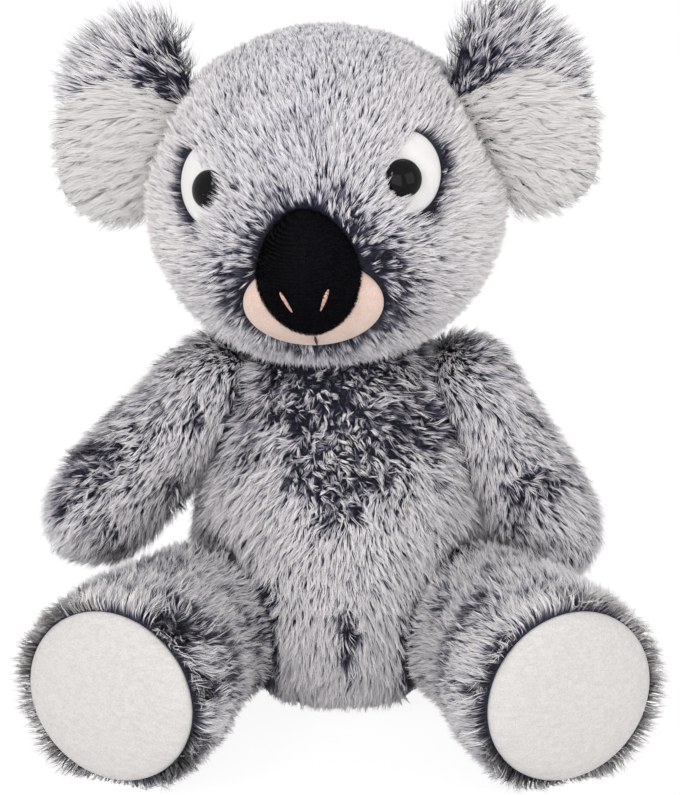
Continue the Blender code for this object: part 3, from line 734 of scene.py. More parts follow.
nose_points = ball(181, 144)[..., [1, 2, 0]] * nose_half_sizes
nose_points[..., 0] *= nose_width(nose_points[..., 1]) / nose_half_sizes[0]
ridge = nose_points[..., 1] / crease_pitch + crease_wander * drift(nose_points * crease_stretch, 4.0 * MM, 5)
fold = np.sin(2.0 * math.pi * ridge) * np.clip(0.45 + 0.9 * drift(nose_points, 9.0 * MM, 6), 0.1, 1.0)
nose_points = nose_points + facings(nose_points) * (crease_depth * fold)[..., None]
nose_grid = from_head(on_muzzle(nose_points @ nose_axes + nose_place))
nap = (0.4 * MM, 4.0)
black_cloth = flecked(
    "black_nose_cloth", 0.75, nap, (3, 3, 5), (12, 11, 17), nap, 0.25 * MM, 0.75, specular=0.12
)
skin(
    "nose_pad", nose_grid, "head", "black_nose_cloth", black_cloth,
    "nose_cover", "nose_stuffing", fill=0.9,
)
black_dye = fur_dye(
    "black_pile", (0.9, 0.9, 1.0), (1.0, 1.0, 1.0),
    (0.0, (2, 2, 3)), (0.5, (7, 7, 10)), (1.0, (26, 25, 33)), sheen=0.0, specular=0.03,
)
nose_coat = {
    "per_mm2": 7.0, "length": 1.5 * MM, "half_width": 0.10 * MM, "lift": -0.1, "tuft": 0.7 * MM,
    "lock": 2.0 * MM, "swirl_size": 6.0 * MM, "roots": 0.3, "tips": 0.8, "tuft_tone": 0.4,
    "lock_tone": 0.3, "sunk": 0.0,
}
grow_fur(
    "nose_pile", "head", "black_nose_cloth", black_dye, nose_grid,
    lambda points: np.array([1.0, 0.0, -0.3]) + 0.0 * points,
    lambda points: past_head(to_head(points)) > 2.0 * gap, nose_coat, 60,
)

# The lip: a padded crescent of pink velour round the lower half of the nose, with a dark bar
# of stitches at its lowest point.
lip_half_sizes = np.array([45.0, 32.5, 15.0]) / 2.0 * MM
lip_drop = math.radians(24.5)
lip_sink = 1.5 * MM
lip_way = ahead(lip_drop)
lip_axes = aimed(lip_way, (1.0, 0.0, 0.0))
lip_place = on_face(0.0, -lip_drop) - lip_way * lip_sink


def dent(points, inside, way, step, most):
    """Moves the places that lie inside a neighbour along a way, step by step, until they are out."""
    for _ in range(int(most / step)):
        points = points + way * (inside(points) * step)[..., None]
    return points


def inside_nose(points):
    """Whether places in the head's frame lie inside the nose or its gap."""
    x, y, z = np.moveaxis((points - nose_place) @ nose_axes.T, -1, 0)
    x, y, z = x / (nose_width(y) + gap), y / (nose_half_sizes[1] + gap), z / nose_half_sizes[2]
    return x ** 2 + y ** 2 + z ** 2 < 1.0


lip_points = (ball(61, 120)[..., [1, 2, 0]] * lip_half_sizes) @ lip_axes + lip_place
lip_points = dent(lip_points, inside_nose, -nose_way, 0.2 * MM, 24.0 * MM)
lip_grid = from_head(on_muzzle(lip_points))

pink_velour, tree, shader = new_finish("pink_velour", 0.9, 0.35, 0.45)
nap = speckle(tree, 0.45 * MM, 4.0)
tone = ramp(tree, speckle(tree, 6.0 * MM), (0.3, (216, 188, 174)), (0.7, (224, 199, 187)))
napped = ramp(tree, nap, (0.3, (228, 226, 226)), (0.65, (255, 255, 255)))
link(tree, blended(tree, "MULTIPLY", 1.0, tone, napped), shader.inputs["Base Color"])
raised(tree, shader, nap, 0.14 * MM)
skin("lip_pad", lip_grid, "head", "pink_velour", pink_velour, "lip", fill=0.85)

# The stitches: two slanting pink bars for the nostrils and one dark bar under the lip's middle,
# each a row of satin stitches that lies on its cloth.
nostril_half_sizes = np.array([0.85, 4.0]) * MM
nostril_side = 6.0 * MM
nostril_drop = 3.6 * MM
nostril_lean = math.radians(24.0)
mouth_half_sizes = np.array([0.6, 2.7]) * MM
mouth_drop = 11.0 * MM
stitch_height = 0.7 * MM
stitch_pitch = 0.42 * MM
stitch_slant = 0.35
stitch_ridge = 0.12 * MM
stitch_taper = 0.25


def thread_finish(name, dark, pale):
    """Embroidery thread, shaded along each stitch."""
    return flecked(name, 0.6, (0.35 * MM,), dark, pale, (0.2 * MM,), 0.05 * MM, sheen=0.2)


def stitch_bar(name, half_sizes, place, lean, form, finish, slot, node_name):
    """A bar of satin stitches: a pad that narrows to its lower end, ridged once for each thread.

    It lies on the front of an ellipsoid form, which is its half sizes, its place and its axes.
    """
    (wide, tall, deep), form_place, form_axes = form

    def lay(across, along, height):
        """The leaning bar laid on the form's front."""
        x = across * half_sizes[0] * (1.0 - stitch_taper * (1.0 - along))
        y = along * half_sizes[1]
        thread = stitch_ridge * np.sin(2.0 * math.pi * (y + stitch_slant * x) / stitch_pitch)
        lift = height + np.where(height > 0.3 * stitch_height, thread, 0.0)
        x, y = spun(x, y, lean)
        x, y = x + place[0], y + place[1]
        front = deep * np.sqrt(np.maximum(1.0 - (x / wide) ** 2 - (y / tall) ** 2, 0.0))
        return from_head(np.stack([x, y, front + gap + lift], -1) @ form_axes + form_place)

    skin(name, pad_grid(lay, stitch_height, 22, 64, 3.0), "head", slot, finish, node_name)


nose_front = (nose_half_sizes, nose_place, nose_axes)
lip_front = (lip_half_sizes, lip_place, lip_axes)
pink_thread = thread_finish("pink_thread", (206, 164, 148), (230, 192, 176))
dark_thread = thread_finish("dark_thread", (42, 28, 32), (66, 46, 50))
for side, name in side_names.items():
    stitch_bar(
        f"nostril_{name}_bar", nostril_half_sizes, (side * nostril_side, -nostril_drop),
        -side * nostril_lean, nose_front, pink_thread, "pink_thread", f"nostril_{name}_stitch",
    )
stitch_bar(
    "mouth_bar", mouth_half_sizes, (0.0, -mouth_drop), 0.0,
    lip_front, dark_thread, "dark_thread", "mouth_stitch",
)

# The head's fur, in the three panels that the cover is sewn from. It is combed away from the
# nose, so its dark roots show round the nose and the lip and at the outer side of each eye.
gusset_half = 19.0 * MM
neck_seat_radius = 19.0 * MM
behind_start = -12.0 * MM
behind_run = 60.0 * MM
behind_fall = 2.5
cheek_start = 27.0 * MM
cheek_run = 30.0 * MM
eye_bare_shifts = {1: 3.0 * MM, -1: 5.0 * MM}
eye_bare_share = 0.94
nose_bare_shrink = 0.985
lip_bare_share = 0.98
piece_reach = 20.0 * MM
ear_foot_half_sizes = np.array([21.0, 4.0]) * MM
ear_foot_drop = 9.5 * MM
lash_out = 1.0 * MM
lash_width = 3.0 * MM
head_coat = {
    "per_mm2": 4.3, "length": 6.2 * MM, "lift": -0.14, "tuft": 1.4 * MM, "tuft_length": 0.35,
    "tuft_turn": 0.45, "roots": 0.12, "tuft_tone": 0.16, "lock_tone": 0.14, "warm_tone": 0.07,
    # The negative share at the end of the next line makes the pressed crown's dye paler: painted light on
    # the top of the head.
    "ruffle": 0.35, "ruffle_dark": 0.36, "ruffle_tone": 1.0, "press_painted_shade": -0.16,
}
nose_foot = from_head(head_surface(nose_way))


def comb_head(points):
    """Away from the nose over the face and the crown, and down over the back of the head."""
    behind = (points[..., 1:2] - head_place[1] - behind_start) / behind_run
    behind = np.clip(behind, 0.0, 1.0) ** 2
    return unit(points - nose_foot) + np.array([0.0, 0.0, -behind_fall]) * behind


def warm_cheeks(points):
    """Cool over the brow and the muzzle, warm towards the cheeks' outer parts."""
    return np.clip((np.abs(to_head(points)[..., 0]) - cheek_start) / cheek_run, -1.0, 1.0)


def to_form(local, form):
    """Shares of an ellipsoid form's half width and half height, and heights over its middle plane."""
    half_sizes, place, axes = form
    x, y, z = ((local - place) @ axes.T).T
    return x / half_sizes[0], y / half_sizes[1], z


def to_eye(local, side):
    """Places in the frame of an eye: x outwards for the left one, y up and z out of the head."""
    place, axes, tilt = eyes[side]
    return ((local - place) @ axes.T).T


def to_felt(local, side):
    """Places along the two axes of an eye's tilted felt oval."""
    x, y, z = to_eye(local, side)
    return spun(x - eye_white_out, y - side * eye_white_up, -eyes[side][2])


def open_head(points):
    """Whether the fur grows there: not under the felt, the nose, the lip, an ear or in the neck."""
    local = to_head(points)
    bare = (np.hypot(local[:, 0], local[:, 1]) < neck_seat_radius) & (local[:, 2] < 0.0)
    for side, shift in eye_bare_shifts.items():
        x, y = to_felt(local, side)
        x = (x - shift) / (eye_white_half_sizes[0] - shift)
        under_felt = x ** 2 + (y / eye_white_half_sizes[1]) ** 2 < eye_bare_share
        x, y, z = to_eye(local, side)
        under_pupil = x ** 2 + y ** 2 < (pupil_radius + gap) ** 2
        bare |= (under_felt | under_pupil) & (z > -piece_reach)
    bare |= inside_nose(local * nose_bare_shrink)
    x, y, z = to_form(local, lip_front)
    bare |= (x ** 2 + y ** 2 < lip_bare_share) & (z > -piece_reach)
    for out in ear_outs.values():
        x, y, z = (local @ aimed(out, (0.0, 0.0, 1.0)).T).T
        on_foot = (np.abs(x + ear_foot_drop) < ear_foot_half_sizes[0]) & (np.abs(y) < ear_foot_half_sizes[1])
        bare |= on_foot & (z > 0.0)
    return ~bare


def ring(x, y, start, spread):
    """1 inside an oval of which x and y are the shares, down to 0 by a bell curve outside it."""
    return np.exp(-np.maximum(np.hypot(x, y) - start, 0.0) ** 2 / spread)


def ruffled_head(points):
    """1 beside the nose, the lip and the outer side of each felt, down to 0 within some millimetres."""
    local = to_head(points)
    x, y, z = to_form(local, nose_front)
    wide, tall = np.abs(x * nose_half_sizes[0]), y * nose_half_sizes[1]
    beside = wide / np.maximum(np.hypot(wide, tall), tiny)
    total = (0.2 + 0.6 * beside) * ring(x, y, 1.05, 0.10)
    x, y, z = to_form(local, lip_front)
    total = np.maximum(total, 1.2 * ring(x, y, 1.0, 0.2))
    for side in eyes:
        x, y = to_felt(local, side)
        x, y = x / eye_white_half_sizes[0], y / eye_white_half_sizes[1]
        outer = np.clip(2.0 * x, 0.0, 1.0)
        total = np.maximum(total, 0.75 * outer * ring(x, y, 1.05, 0.08))
    return total * (local[:, 1] < 0.0)


def lashes(points):
    """1 along the inner side of the right pupil, which the fur half covers."""
    x, y, z = to_eye(to_head(points), -1)
    from_middle = np.hypot(x, y)
    inner = np.clip(-x / np.maximum(from_middle, tiny), 0.0, 1.0)
    beside = np.exp(-((from_middle - pupil_radius - lash_out) / lash_width) ** 2)
    return inner * beside * (z > -piece_reach)


# Over this area the head's fur is also dyed paler: painted light on the crown.
def smooth_crown(points):
    """0 over the face, up to a half at the top of the head, where the fur is shorter and lies flat."""
    return 0.5 * np.clip((to_head(points)[:, 2] / head_half_sizes[2] - 0.45) / 0.5, 0.0, 1.0)


head_panels = {
    "head_fur_gusset": lambda x: np.abs(x) < gusset_half,
    "head_fur_left": lambda x: x >= gusset_half,
    "head_fur_right": lambda x: x <= -gusset_half,
}
for number, (name, half) in enumerate(head_panels.items()):
    grow_fur(
        name, "head", "grey_plush", tipped_dye, head_grid, comb_head,
        lambda points: open_head(points) & half(to_head(points)[:, 0]), head_coat, 100 + number,
        ruffled=ruffled_head, pressed=smooth_crown, warm=warm_cheeks, tall=lashes,
    )

# The ears: flat and stuffed, with a grey plush back that rolls over the top edge and a lining
# of long white pile that is combed outwards. Each bends at its root seam.
ear_root_radius = 4.2 * MM
ear_length = 34.5 * MM
ear_half_width = 32.5 * MM
ear_half_thickness = 5.4 * MM
ear_ring_shares = (
    # Distance out, half width, half thickness and upward shift
    (0.00, 0.72, 0.80, 0.00),
    (0.25, 0.95, 0.95, 0.10),
    (0.50, 1.00, 1.00, 0.16),
    (0.75, 0.83, 0.95, 0.20),
    (0.93, 0.48, 0.62, 0.22),
)
ear_root_angles = (-70.0, -35.0)
ear_bare_root = -3.0 * MM
ear_comb_squash = np.array([0.6, 0.0, 1.0])
ear_comb_start = np.array([-6.0, 0.0, 18.0]) * MM
lining_half_sizes = np.array([24.0, 15.0]) * MM
lining_middle = np.array([-6.5, 17.5]) * MM
lining_thickness = 0.8 * MM
lining_overhang = 3.0 * MM
lining_comb_spread = 40.0 * MM
edge_run = 10.0 * MM
ruffle_start = 2.0 * MM
ruffle_run = 14.0 * MM
ear_back_coat = {
    "length": 8.0 * MM, "lift": -0.2, "stand": 0.6, "lock": 6.0 * MM, "lock_pull": 0.2,
    "tuft_tone": 0.5, "lock_tone": 0.3, "ruffle": 0.2, "ruffle_dark": 0.5, "press_painted_shade": 0.0,
}
ear_lining_coat = {
    "per_mm2": 4.6, "length": 9.0 * MM, "half_width": 0.13 * MM, "lift": -0.3, "stand": 0.9,
    "tuft": 2.8 * MM, "pull": 0.65, "lock": 6.0 * MM, "lock_pull": 0.2, "sunk": 0.0, "swirl": 0.25,
    "tuft_lift": 0.35, "roots": 0.62, "tips": 1.0, "tuft_tone": 0.12, "press_painted_shade": 0.0,
    "tuft_shade": 0.15,
}
white_dye = fur_dye(
    "white_pile", (0.97, 0.97, 1.0), (1.0, 0.99, 0.98),
    (0.0, (160, 156, 156)), (0.30, (200, 197, 196)), (0.6, (223, 220, 218)), (1.0, (232, 229, 227)),
)
white_backing = flecked("white_backing", 0.95, knit, (168, 166, 168), (200, 199, 200), knit, knit_height)


def seamed_table(radius, angles, extra, length, half_sizes, shares, end):
    """Rings of z, half x, half y, shift x and shift y for a piece that is sewn on at its root.

    The root is a ball, or a sausage that is longer by the extra, with a ring at each angle from
    its middle. The rings of the shares follow, and then the end's pole.
    """
    table = [(-radius, 0.0, 0.0, 0.0, 0.0)]
    for angle in np.radians(angles):
        half = radius * math.cos(angle)
        table.append((radius * math.sin(angle), extra + half, half, 0.0, 0.0))
    for out, wide, deep, shift in shares:
        table.append((out * length, wide * half_sizes[0], deep * half_sizes[1], shift * half_sizes[0], 0.0))
    return table + [(end, 0.0, 0.0, shares[-1][3] * half_sizes[0], 0.0)]


def spline_rows(table, steps):
    """Rows of z, half x, half y, shift x and shift y, smoothed by the uniform cubic B-spline.

    Past each end the row before it is repeated with its half sizes negated, which makes a
    round pole.
    """
    table = np.asarray(table, float)
    flip = np.array([1.0, -1.0, -1.0, 1.0, 1.0])
    rows = np.vstack([table[1] * flip, table, table[-2] * flip])
    at = np.linspace(0.0, len(table) - 1.0, (len(table) - 1) * steps + 1)
    low = np.minimum(at.astype(int), len(table) - 2)
    t = (at - low)[:, None]
    weights = ((1 - t) ** 3, 3 * t ** 3 - 6 * t ** 2 + 4, -3 * t ** 3 + 3 * t ** 2 + 3 * t + 1, t ** 3)
    return sum(weight / 6.0 * rows[low + k] for k, weight in enumerate(weights))


ear_extra = ear_ring_shares[0][1] * ear_half_width - ear_root_radius
ear_table = seamed_table(
    ear_root_radius, ear_root_angles, ear_extra, ear_length, (ear_half_width, ear_half_thickness),
    ear_ring_shares, ear_length,
)
ear_rows = spline_rows(ear_table, 8)
for side, name in side_names.items():
    body = f"ear_{name}"
    ear_axes = aimed(ear_outs[side], (0.0, 0.0, 1.0)) @ head_axes
    ear_root = joint_at[f"ear_{name}_flex"]

    def from_ear(points):
        """Places in this ear's frame, carried to the shared frame."""
        return points @ ear_axes + ear_root

    def to_ear(points):
        """Places in this ear's frame: x up, y forwards for the left ear, z out of the head."""
        return (points - ear_root) @ ear_axes.T

    def lay_lining(across, along, height):
        """The lining's oval, laid on the front of the ear."""
        x = across * lining_half_sizes[0] + lining_middle[0]
        z = along * lining_half_sizes[1] + lining_middle[1]
        wide, deep, shift = (np.interp(z, ear_rows[:, 0], ear_rows[:, k]) for k in (1, 2, 3))
        y = deep * np.sqrt(np.maximum(1.0 - ((x - shift) / np.maximum(wide, tiny)) ** 2, 0.0))
        return from_ear(np.stack([x, side * (y + height), z], -1))

    def in_lining(points):
        """Whether places lie on the ear's front, on the lining or between it and the head."""
        x, y, z = to_ear(points).T
        x, y, z = (x - lining_middle[0]) / lining_half_sizes[0], y * side, z - lining_middle[1]
        low_edge = lining_overhang * np.clip(0.5 - 2.0 * x, 0.0, 1.0)
        inside = np.maximum(x, 0.0) ** 2 + np.maximum(z / lining_half_sizes[1], 0.0) ** 2 < 1.0
        return (inside | ((x < 0.0) & (y < low_edge))) & (y > -low_edge)

    def edge_back(points):
        """0 over the ear's upper half, up to 0.6 at its lower edge, where the white pile hangs over."""
        return 0.6 * np.clip(0.5 - to_ear(points)[:, 0] / edge_run, 0.0, 1.0)

    def outer_corner(points, way, start, run):
        """0 over most of the ear, up to 1 at its outer corner above or, where way is -1, below."""
        x, y, z = to_ear(points).T
        return np.clip((z / ear_length + way * x / ear_half_width - start) / run, 0.0, 1.0)

    def comb_back(points):
        """Outwards from the ear's root, away from the head."""
        return (to_ear(points) * ear_comb_squash + ear_comb_start) @ ear_axes

    def comb_lining(points):
        """Level and away from the head, and a little outwards from the ear's middle."""
        spread = to_ear(points) * np.array([1.0, 0.0, 0.0]) / lining_comb_spread
        return spread @ ear_axes + np.array([side, 0.0, -0.1])

    def ruffled_ear(points):
        """0.8 beside the root, down to 0 some millimetres out."""
        past = np.maximum(to_ear(points)[:, 2] - ruffle_start, 0.0)
        return 0.8 * np.exp(-past ** 2 / ruffle_run ** 2)

    ear_grid = from_ear(loft(ear_rows, 120))
    skin(f"ear_{name}_cover", ear_grid, body, "grey_plush", backing, f"ear_{name}_back", fill=0.5)
    lining_grid = pad_grid(lay_lining, lining_thickness, 12, 72)
    if side > 0:
        lining_grid = lining_grid[:, ::-1]
    skin(
        f"ear_{name}_lining_cloth", lining_grid, body, "white_plush", white_backing,
        f"ear_{name}_lining", fill=0.5,
    )
    grow_fur(
        f"ear_{name}_fur", body, "grey_plush", tipped_dye, ear_grid, comb_back,
        lambda points: ~in_lining(points) & (to_ear(points)[:, 2] > ear_bare_root),
        ear_back_coat, 200 + side, ruffled=ruffled_ear, pressed=edge_back,
        tall=lambda points: outer_corner(points, 1.0, 1.0, 0.5),
    )
    grow_fur(
        f"ear_{name}_pile", body, "white_plush", white_dye, ear_grid, comb_lining,
        lambda points: in_lining(points) & (to_ear(points)[:, 2] > ear_bare_root),
        ear_lining_coat, 210 + side,
        pressed=lambda points: 0.35 * outer_corner(points, -1.0, 0.8, 0.45),
    )

# The arms: each a plush sleeve over fibre, a ball at the shoulder that swells to the forearm
# and ends in a round paw. The sleeve is sewn to the torso at the shoulder, where it swings.
shoulder_radius = 14.5 * MM
arm_length = 75.0 * MM
arm_half_width = 16.0 * MM
arm_ring_shares = (
    # Distance out, half width, half depth and sideways shift
    (0.22, 0.88, 0.88, 0.0),
    (0.45, 0.94, 0.95, 0.0),
    (0.65, 1.00, 1.00, 0.0),
    (0.83, 0.94, 0.93, 0.0),
    (0.95, 0.62, 0.60, 0.0),
)
limb_root_angles = (-60.0, -28.0, 0.0)
arm_angles = {1: np.radians([29.5, 3.0]), -1: np.radians([43.0, 10.0])}
arm_swing = np.radians([-6.0, 0.0, 12.0])
arm_patches = {1: 0.3, -1: 0.12}
patch_size = 11.0 * MM
swing_clear = 0.6 * MM
press_depths = np.array([2.0, 3.5, 5.0, 6.5]) * MM
hidden_depth = 6.0 * MM
# Torso and limb fur is dyed darker where a neighbour presses on it: painted shade in the creases between
# parts.
body_coat = {"swirl": 0.5, "tuft_tone": 0.3, "lock_tone": 0.16, "press_painted_shade": 0.75}
arm_coat = {**body_coat, "per_mm2": 4.5, "pull": 0.75, "roots": 0.04, "tuft_tone": 0.5, "lock_tone": 0.24}
arm_parted = {
    # Place and radius in millimetres, and strength
    1: (
        ((62.5, -19.3, 77.5), 7.5, 0.9), ((57.3, -18.2, 63.2), 5.0, 0.5), ((74.1, -19.8, 56.7), 4.0, 0.3),
    ),
    -1: (
        ((-82.1, -19.2, 81.2), 8.0, 1.0), ((-76.0, -19.2, 84.0), 6.0, 0.8), ((-91.3, -19.8, 69.1), 5.0, 0.8),
    ),
}
torso_height = 125.0 * MM
torso_width = 95.0 * MM
torso_depth = 90.0 * MM
seat_cut_depth = 0.5 * MM
torso_ring_shares = (
    # Height, half width, half depth and forward shift
    (0.000, 0.00, 0.00, 0.00),
    (0.010, 0.56, 0.56, 0.00),
    (0.075, 0.86, 0.86, 0.00),
    (0.220, 1.00, 1.00, 0.01),
    (0.420, 1.00, 0.99, 0.03),
    (0.620, 0.91, 0.88, 0.03),
    (0.790, 0.78, 0.74, 0.01),
    (0.920, 0.66, 0.62, 0.00),
    (0.985, 0.48, 0.46, 0.00),
    (1.000, 0.00, 0.00, 0.00),
)
torso_table = [
    (
        z * (torso_height + seat_cut_depth) - seat_cut_depth,
        wide * torso_width / 2.0, deep * torso_depth / 2.0, 0.0, -forward * torso_depth,
    )
    for z, wide, deep, forward in torso_ring_shares
]
torso_rows = spline_rows(torso_table, 10)


def inside_loft(local, rows, clear=0.0):
    """Whether places in a loft's own frame lie inside its ovals, widened by the clearance."""
    z = local[..., 2]
    wide, deep, shift_x, shift_y = (np.interp(z, rows[:, 0], rows[:, k]) for k in (1, 2, 3, 4))
    wide, deep = np.maximum(wide + clear, tiny), np.maximum(deep + clear, tiny)
    away = ((local[..., 0] - shift_x) / wide) ** 2 + ((local[..., 1] - shift_y) / deep) ** 2
    return (away < 1.0) & (z > rows[0, 0] - clear) & (z < rows[-1, 0] + clear)


def inside_torso(points, clear):
    """Whether places lie inside the torso's cover, moved out by the clearance."""
    return inside_loft(points, torso_rows, clear)


def inside_limb(root, axes, rows, angle=0.0):
    """A test of whether places lie inside a limb that has swung by an angle, moved out likewise."""
    turn = turned(0, angle)
    return lambda points, clear: inside_loft((points - root) @ axes.T @ turn, rows, clear)


def pressing(*insides):
    """How deep places lie in a band round some neighbours: 1 where they touch, 0 outside it."""
    def press(points):
        depths = (np.any([inside(points, clear) for inside in insides], axis=0) for clear in press_depths)
        return sum(depths) / len(press_depths)

    return press


def patches(lowest, size, seed):
    """Smooth patches from 0 to 1, over more of the surface where the lowest value is lower."""
    return lambda points: np.clip(1.6 * (drift(points, size, seed) - lowest), 0.0, 1.0)


arm_table = seamed_table(
    shoulder_radius, limb_root_angles, 0.0, arm_length, (arm_half_width, arm_half_width),
    arm_ring_shares, arm_length,
)
arm_rows = spline_rows(arm_table, 8)
resting = []
swung = []
for side, name in side_names.items():
    body = f"arm_{name}"
    spread, forward = arm_angles[side]
    arm_way = np.array([side * math.sin(spread), -math.cos(spread) * math.tan(forward), -math.cos(spread)])
    arm_axes = aimed(arm_way, (0.0, 1.0, 0.0))
    arm_root = joint_at[f"arm_{name}_raise"]
    arm_grid = loft(arm_rows, 64) @ arm_axes + arm_root
    skin(
        f"arm_{name}_cover", arm_grid, body, "grey_plush", backing,
        f"arm_{name}_skin", f"arm_{name}_stuffing", fill=0.8,
    )
    resting.append(inside_limb(arm_root, arm_axes, arm_rows))
    swung += [(inside_limb(arm_root, arm_axes, arm_rows, angle), swing_clear) for angle in -side * arm_swing]
    grow_fur(
        f"arm_{name}_fur", body, "grey_plush", tipped_dye, arm_grid,
        lambda points: arm_way + 0.0 * points,
        lambda points: ~inside_torso(points, -hidden_depth), arm_coat, 300 + side, arm_parted[side],
        ruffled=patches(arm_patches[side], patch_size, 90 + side),
        pressed=pressing(inside_torso, inside_head),
    )

# The legs: each a plush sleeve over fibre that thickens from the hip to a flat sole, a pad of
# white velour. The fur fans out round the sole.
hip_radius = 24.0 * MM
leg_length = 85.0 * MM
leg_half_width = 32.0 * MM
leg_half_height = 30.3 * MM
leg_ring_shares = (
    # Distance out, half width, half height and shift away from the other leg
    (0.28, 0.71, 0.84, 0.20),
    (0.55, 0.84, 0.93, 0.11),
    (0.80, 0.98, 1.00, 0.02),
    (1.00, 0.95, 0.96, 0.00),
    (1.12, 0.80, 0.82, 0.00),
)
leg_end = leg_length * leg_ring_shares[-1][0] + 4.0 * MM
leg_spread = math.radians(26.0)
leg_swing = np.radians([0.0, 12.0, 24.0])
sole_margin = 1.0 * MM
sole_half_sizes = np.array([leg_half_width, leg_half_height]) * leg_ring_shares[3][1:3] - sole_margin
sole_thickness = 3.4 * MM
sole_crown = 1.6 * MM
sole_edge = 0.5 * MM
fan_start = 72.0 * MM
fan_length = leg_length - fan_start
fan_curl_size = 9.0 * MM
pressed_pile = 1.0 * MM
leg_coat = {
    "per_mm2": 3.6, "length": 6.0 * MM, "tuft": 1.2 * MM, "pull": 0.8, "sunk": 0.10, "swirl": 0.8,
    "roots": 0.04, "tips": 0.99, "tuft_tone": 0.75, "lock_tone": 0.25,
}

white_velour, tree, shader = new_finish("white_velour", 0.85, 0.4, 0.5)
nap = speckle(tree, 0.5 * MM, 4.0)
strokes = speckle(tree, 1.3 * MM, 3.0, (0.25, 1.0, 1.0))
tone = ramp(tree, strokes, (0.35, (197, 194, 192)), (0.62, (205, 202, 200)))
napped = ramp(tree, nap, (0.3, (235, 234, 234)), (0.6, (255, 255, 255)))
link(tree, blended(tree, "MULTIPLY", 1.0, tone, napped), shader.inputs["Base Color"])
raised(tree, shader, blended(tree, "MIX", 0.5, nap, strokes), 0.25 * MM)

leg_table = seamed_table(
    hip_radius, limb_root_angles, 0.0, leg_length, (leg_half_width, leg_half_height),
    leg_ring_shares, leg_end,
)
for side, name in side_names.items():
    body = f"leg_{name}"
    leg_way = np.array([side * math.sin(leg_spread), -math.cos(leg_spread), 0.0])
    leg_axes = aimed(leg_way, (1.0, 0.0, 0.0))
    leg_root = joint_at[f"leg_{name}_lift"]
    leg_rows = spline_rows(leg_table, 8) * [1.0, 1.0, 1.0, side, 1.0]
    leg_grid = loft(leg_rows, 112)
    leg_grid[..., 2] = np.minimum(leg_grid[..., 2], leg_length)
    leg_grid = leg_grid @ leg_axes + leg_root
    leg_grid[..., 2] = np.maximum(leg_grid[..., 2], pressed_pile)
    skin(
        f"leg_{name}_cover", leg_grid, body, "grey_plush", backing,
        f"leg_{name}_skin", f"leg_{name}_stuffing", fill=0.8,
    )
    resting.append(inside_limb(leg_root, leg_axes, leg_rows))
    swung += [(inside_limb(leg_root, leg_axes, leg_rows, angle), swing_clear) for angle in -leg_swing]

    def lay_sole(across, along, height):
        """The sole's oval on the leg's flat end, crowned towards its middle."""
        x, y = across * sole_half_sizes[0], along * sole_half_sizes[1]
        crown = sole_crown * (1.0 - across ** 2 - along ** 2) * (height > 0.0)
        places = np.stack([x, y, leg_length + gap + height + crown], -1) @ leg_axes + leg_root
        places[..., 2] = np.maximum(places[..., 2], 0.0)
        return places

    sole_grid = pad_grid(lay_sole, sole_thickness, 14, 96)
    skin(f"leg_{name}_sole_pad", sole_grid, body, "white_velour", white_velour, f"leg_{name}_sole", fill=0.7)

    def to_leg(points):
        """Places in this leg's frame, and how far they lie towards its outer side and in the fan."""
        local = (points - leg_root) @ leg_axes.T
        outward = side * local[:, 0] / leg_half_width
        return local, outward, np.clip((local[:, 2] - fan_start) / fan_length, 0.0, 1.0)

    def comb_leg(points):
        """Outwards from the leg's middle line beside the sole, and back along the leg behind it."""
        local, outward, fan = to_leg(points)
        curl = 0.5 + 0.9 * drift(points, fan_curl_size, 15) + 0.8 * np.clip(outward, 0.0, 1.0)
        fan, curl = fan[:, None], curl[:, None]
        radial = unit(local * np.array([1.0, 1.0, 0.0])) @ leg_axes
        return radial * (0.25 + fan) + leg_way * (curl * fan - 0.9 * (1.0 - fan))

    def tall_rim(points):
        """0.4 beside the sole, down to 0 where the fan starts."""
        return 0.4 * to_leg(points)[2]

    def pale_rim(points):
        """1.5 beside the sole's outer side, 0.3 beside its inner side, 0 where the fan starts."""
        local, outward, fan = to_leg(points)
        return fan * np.clip(0.8 + 1.2 * outward, 0.3, 1.5)

    def mottled(points):
        """Ruffled patches, fewer beside the sole."""
        return patches(-0.25, patch_size, 95 + side)(points) * (1.0 - 0.7 * to_leg(points)[2])

    def open_leg(points):
        """Whether the fur grows there: not under the sole or deep in the torso."""
        local = to_leg(points)[0]
        in_oval = np.sum((local[:, :2] / sole_half_sizes) ** 2, -1) < 1.0
        under_sole = (local[:, 2] > leg_length - sole_edge) & in_oval
        return ~under_sole & ~inside_torso(points, -hidden_depth)

    grow_fur(
        f"leg_{name}_fur", body, "grey_plush", tipped_dye, leg_grid, comb_leg, open_leg, leg_coat,
        400 + side, ruffled=mottled, pressed=pressing(inside_torso), warm=pale_rim, tall=tall_rim,
    )

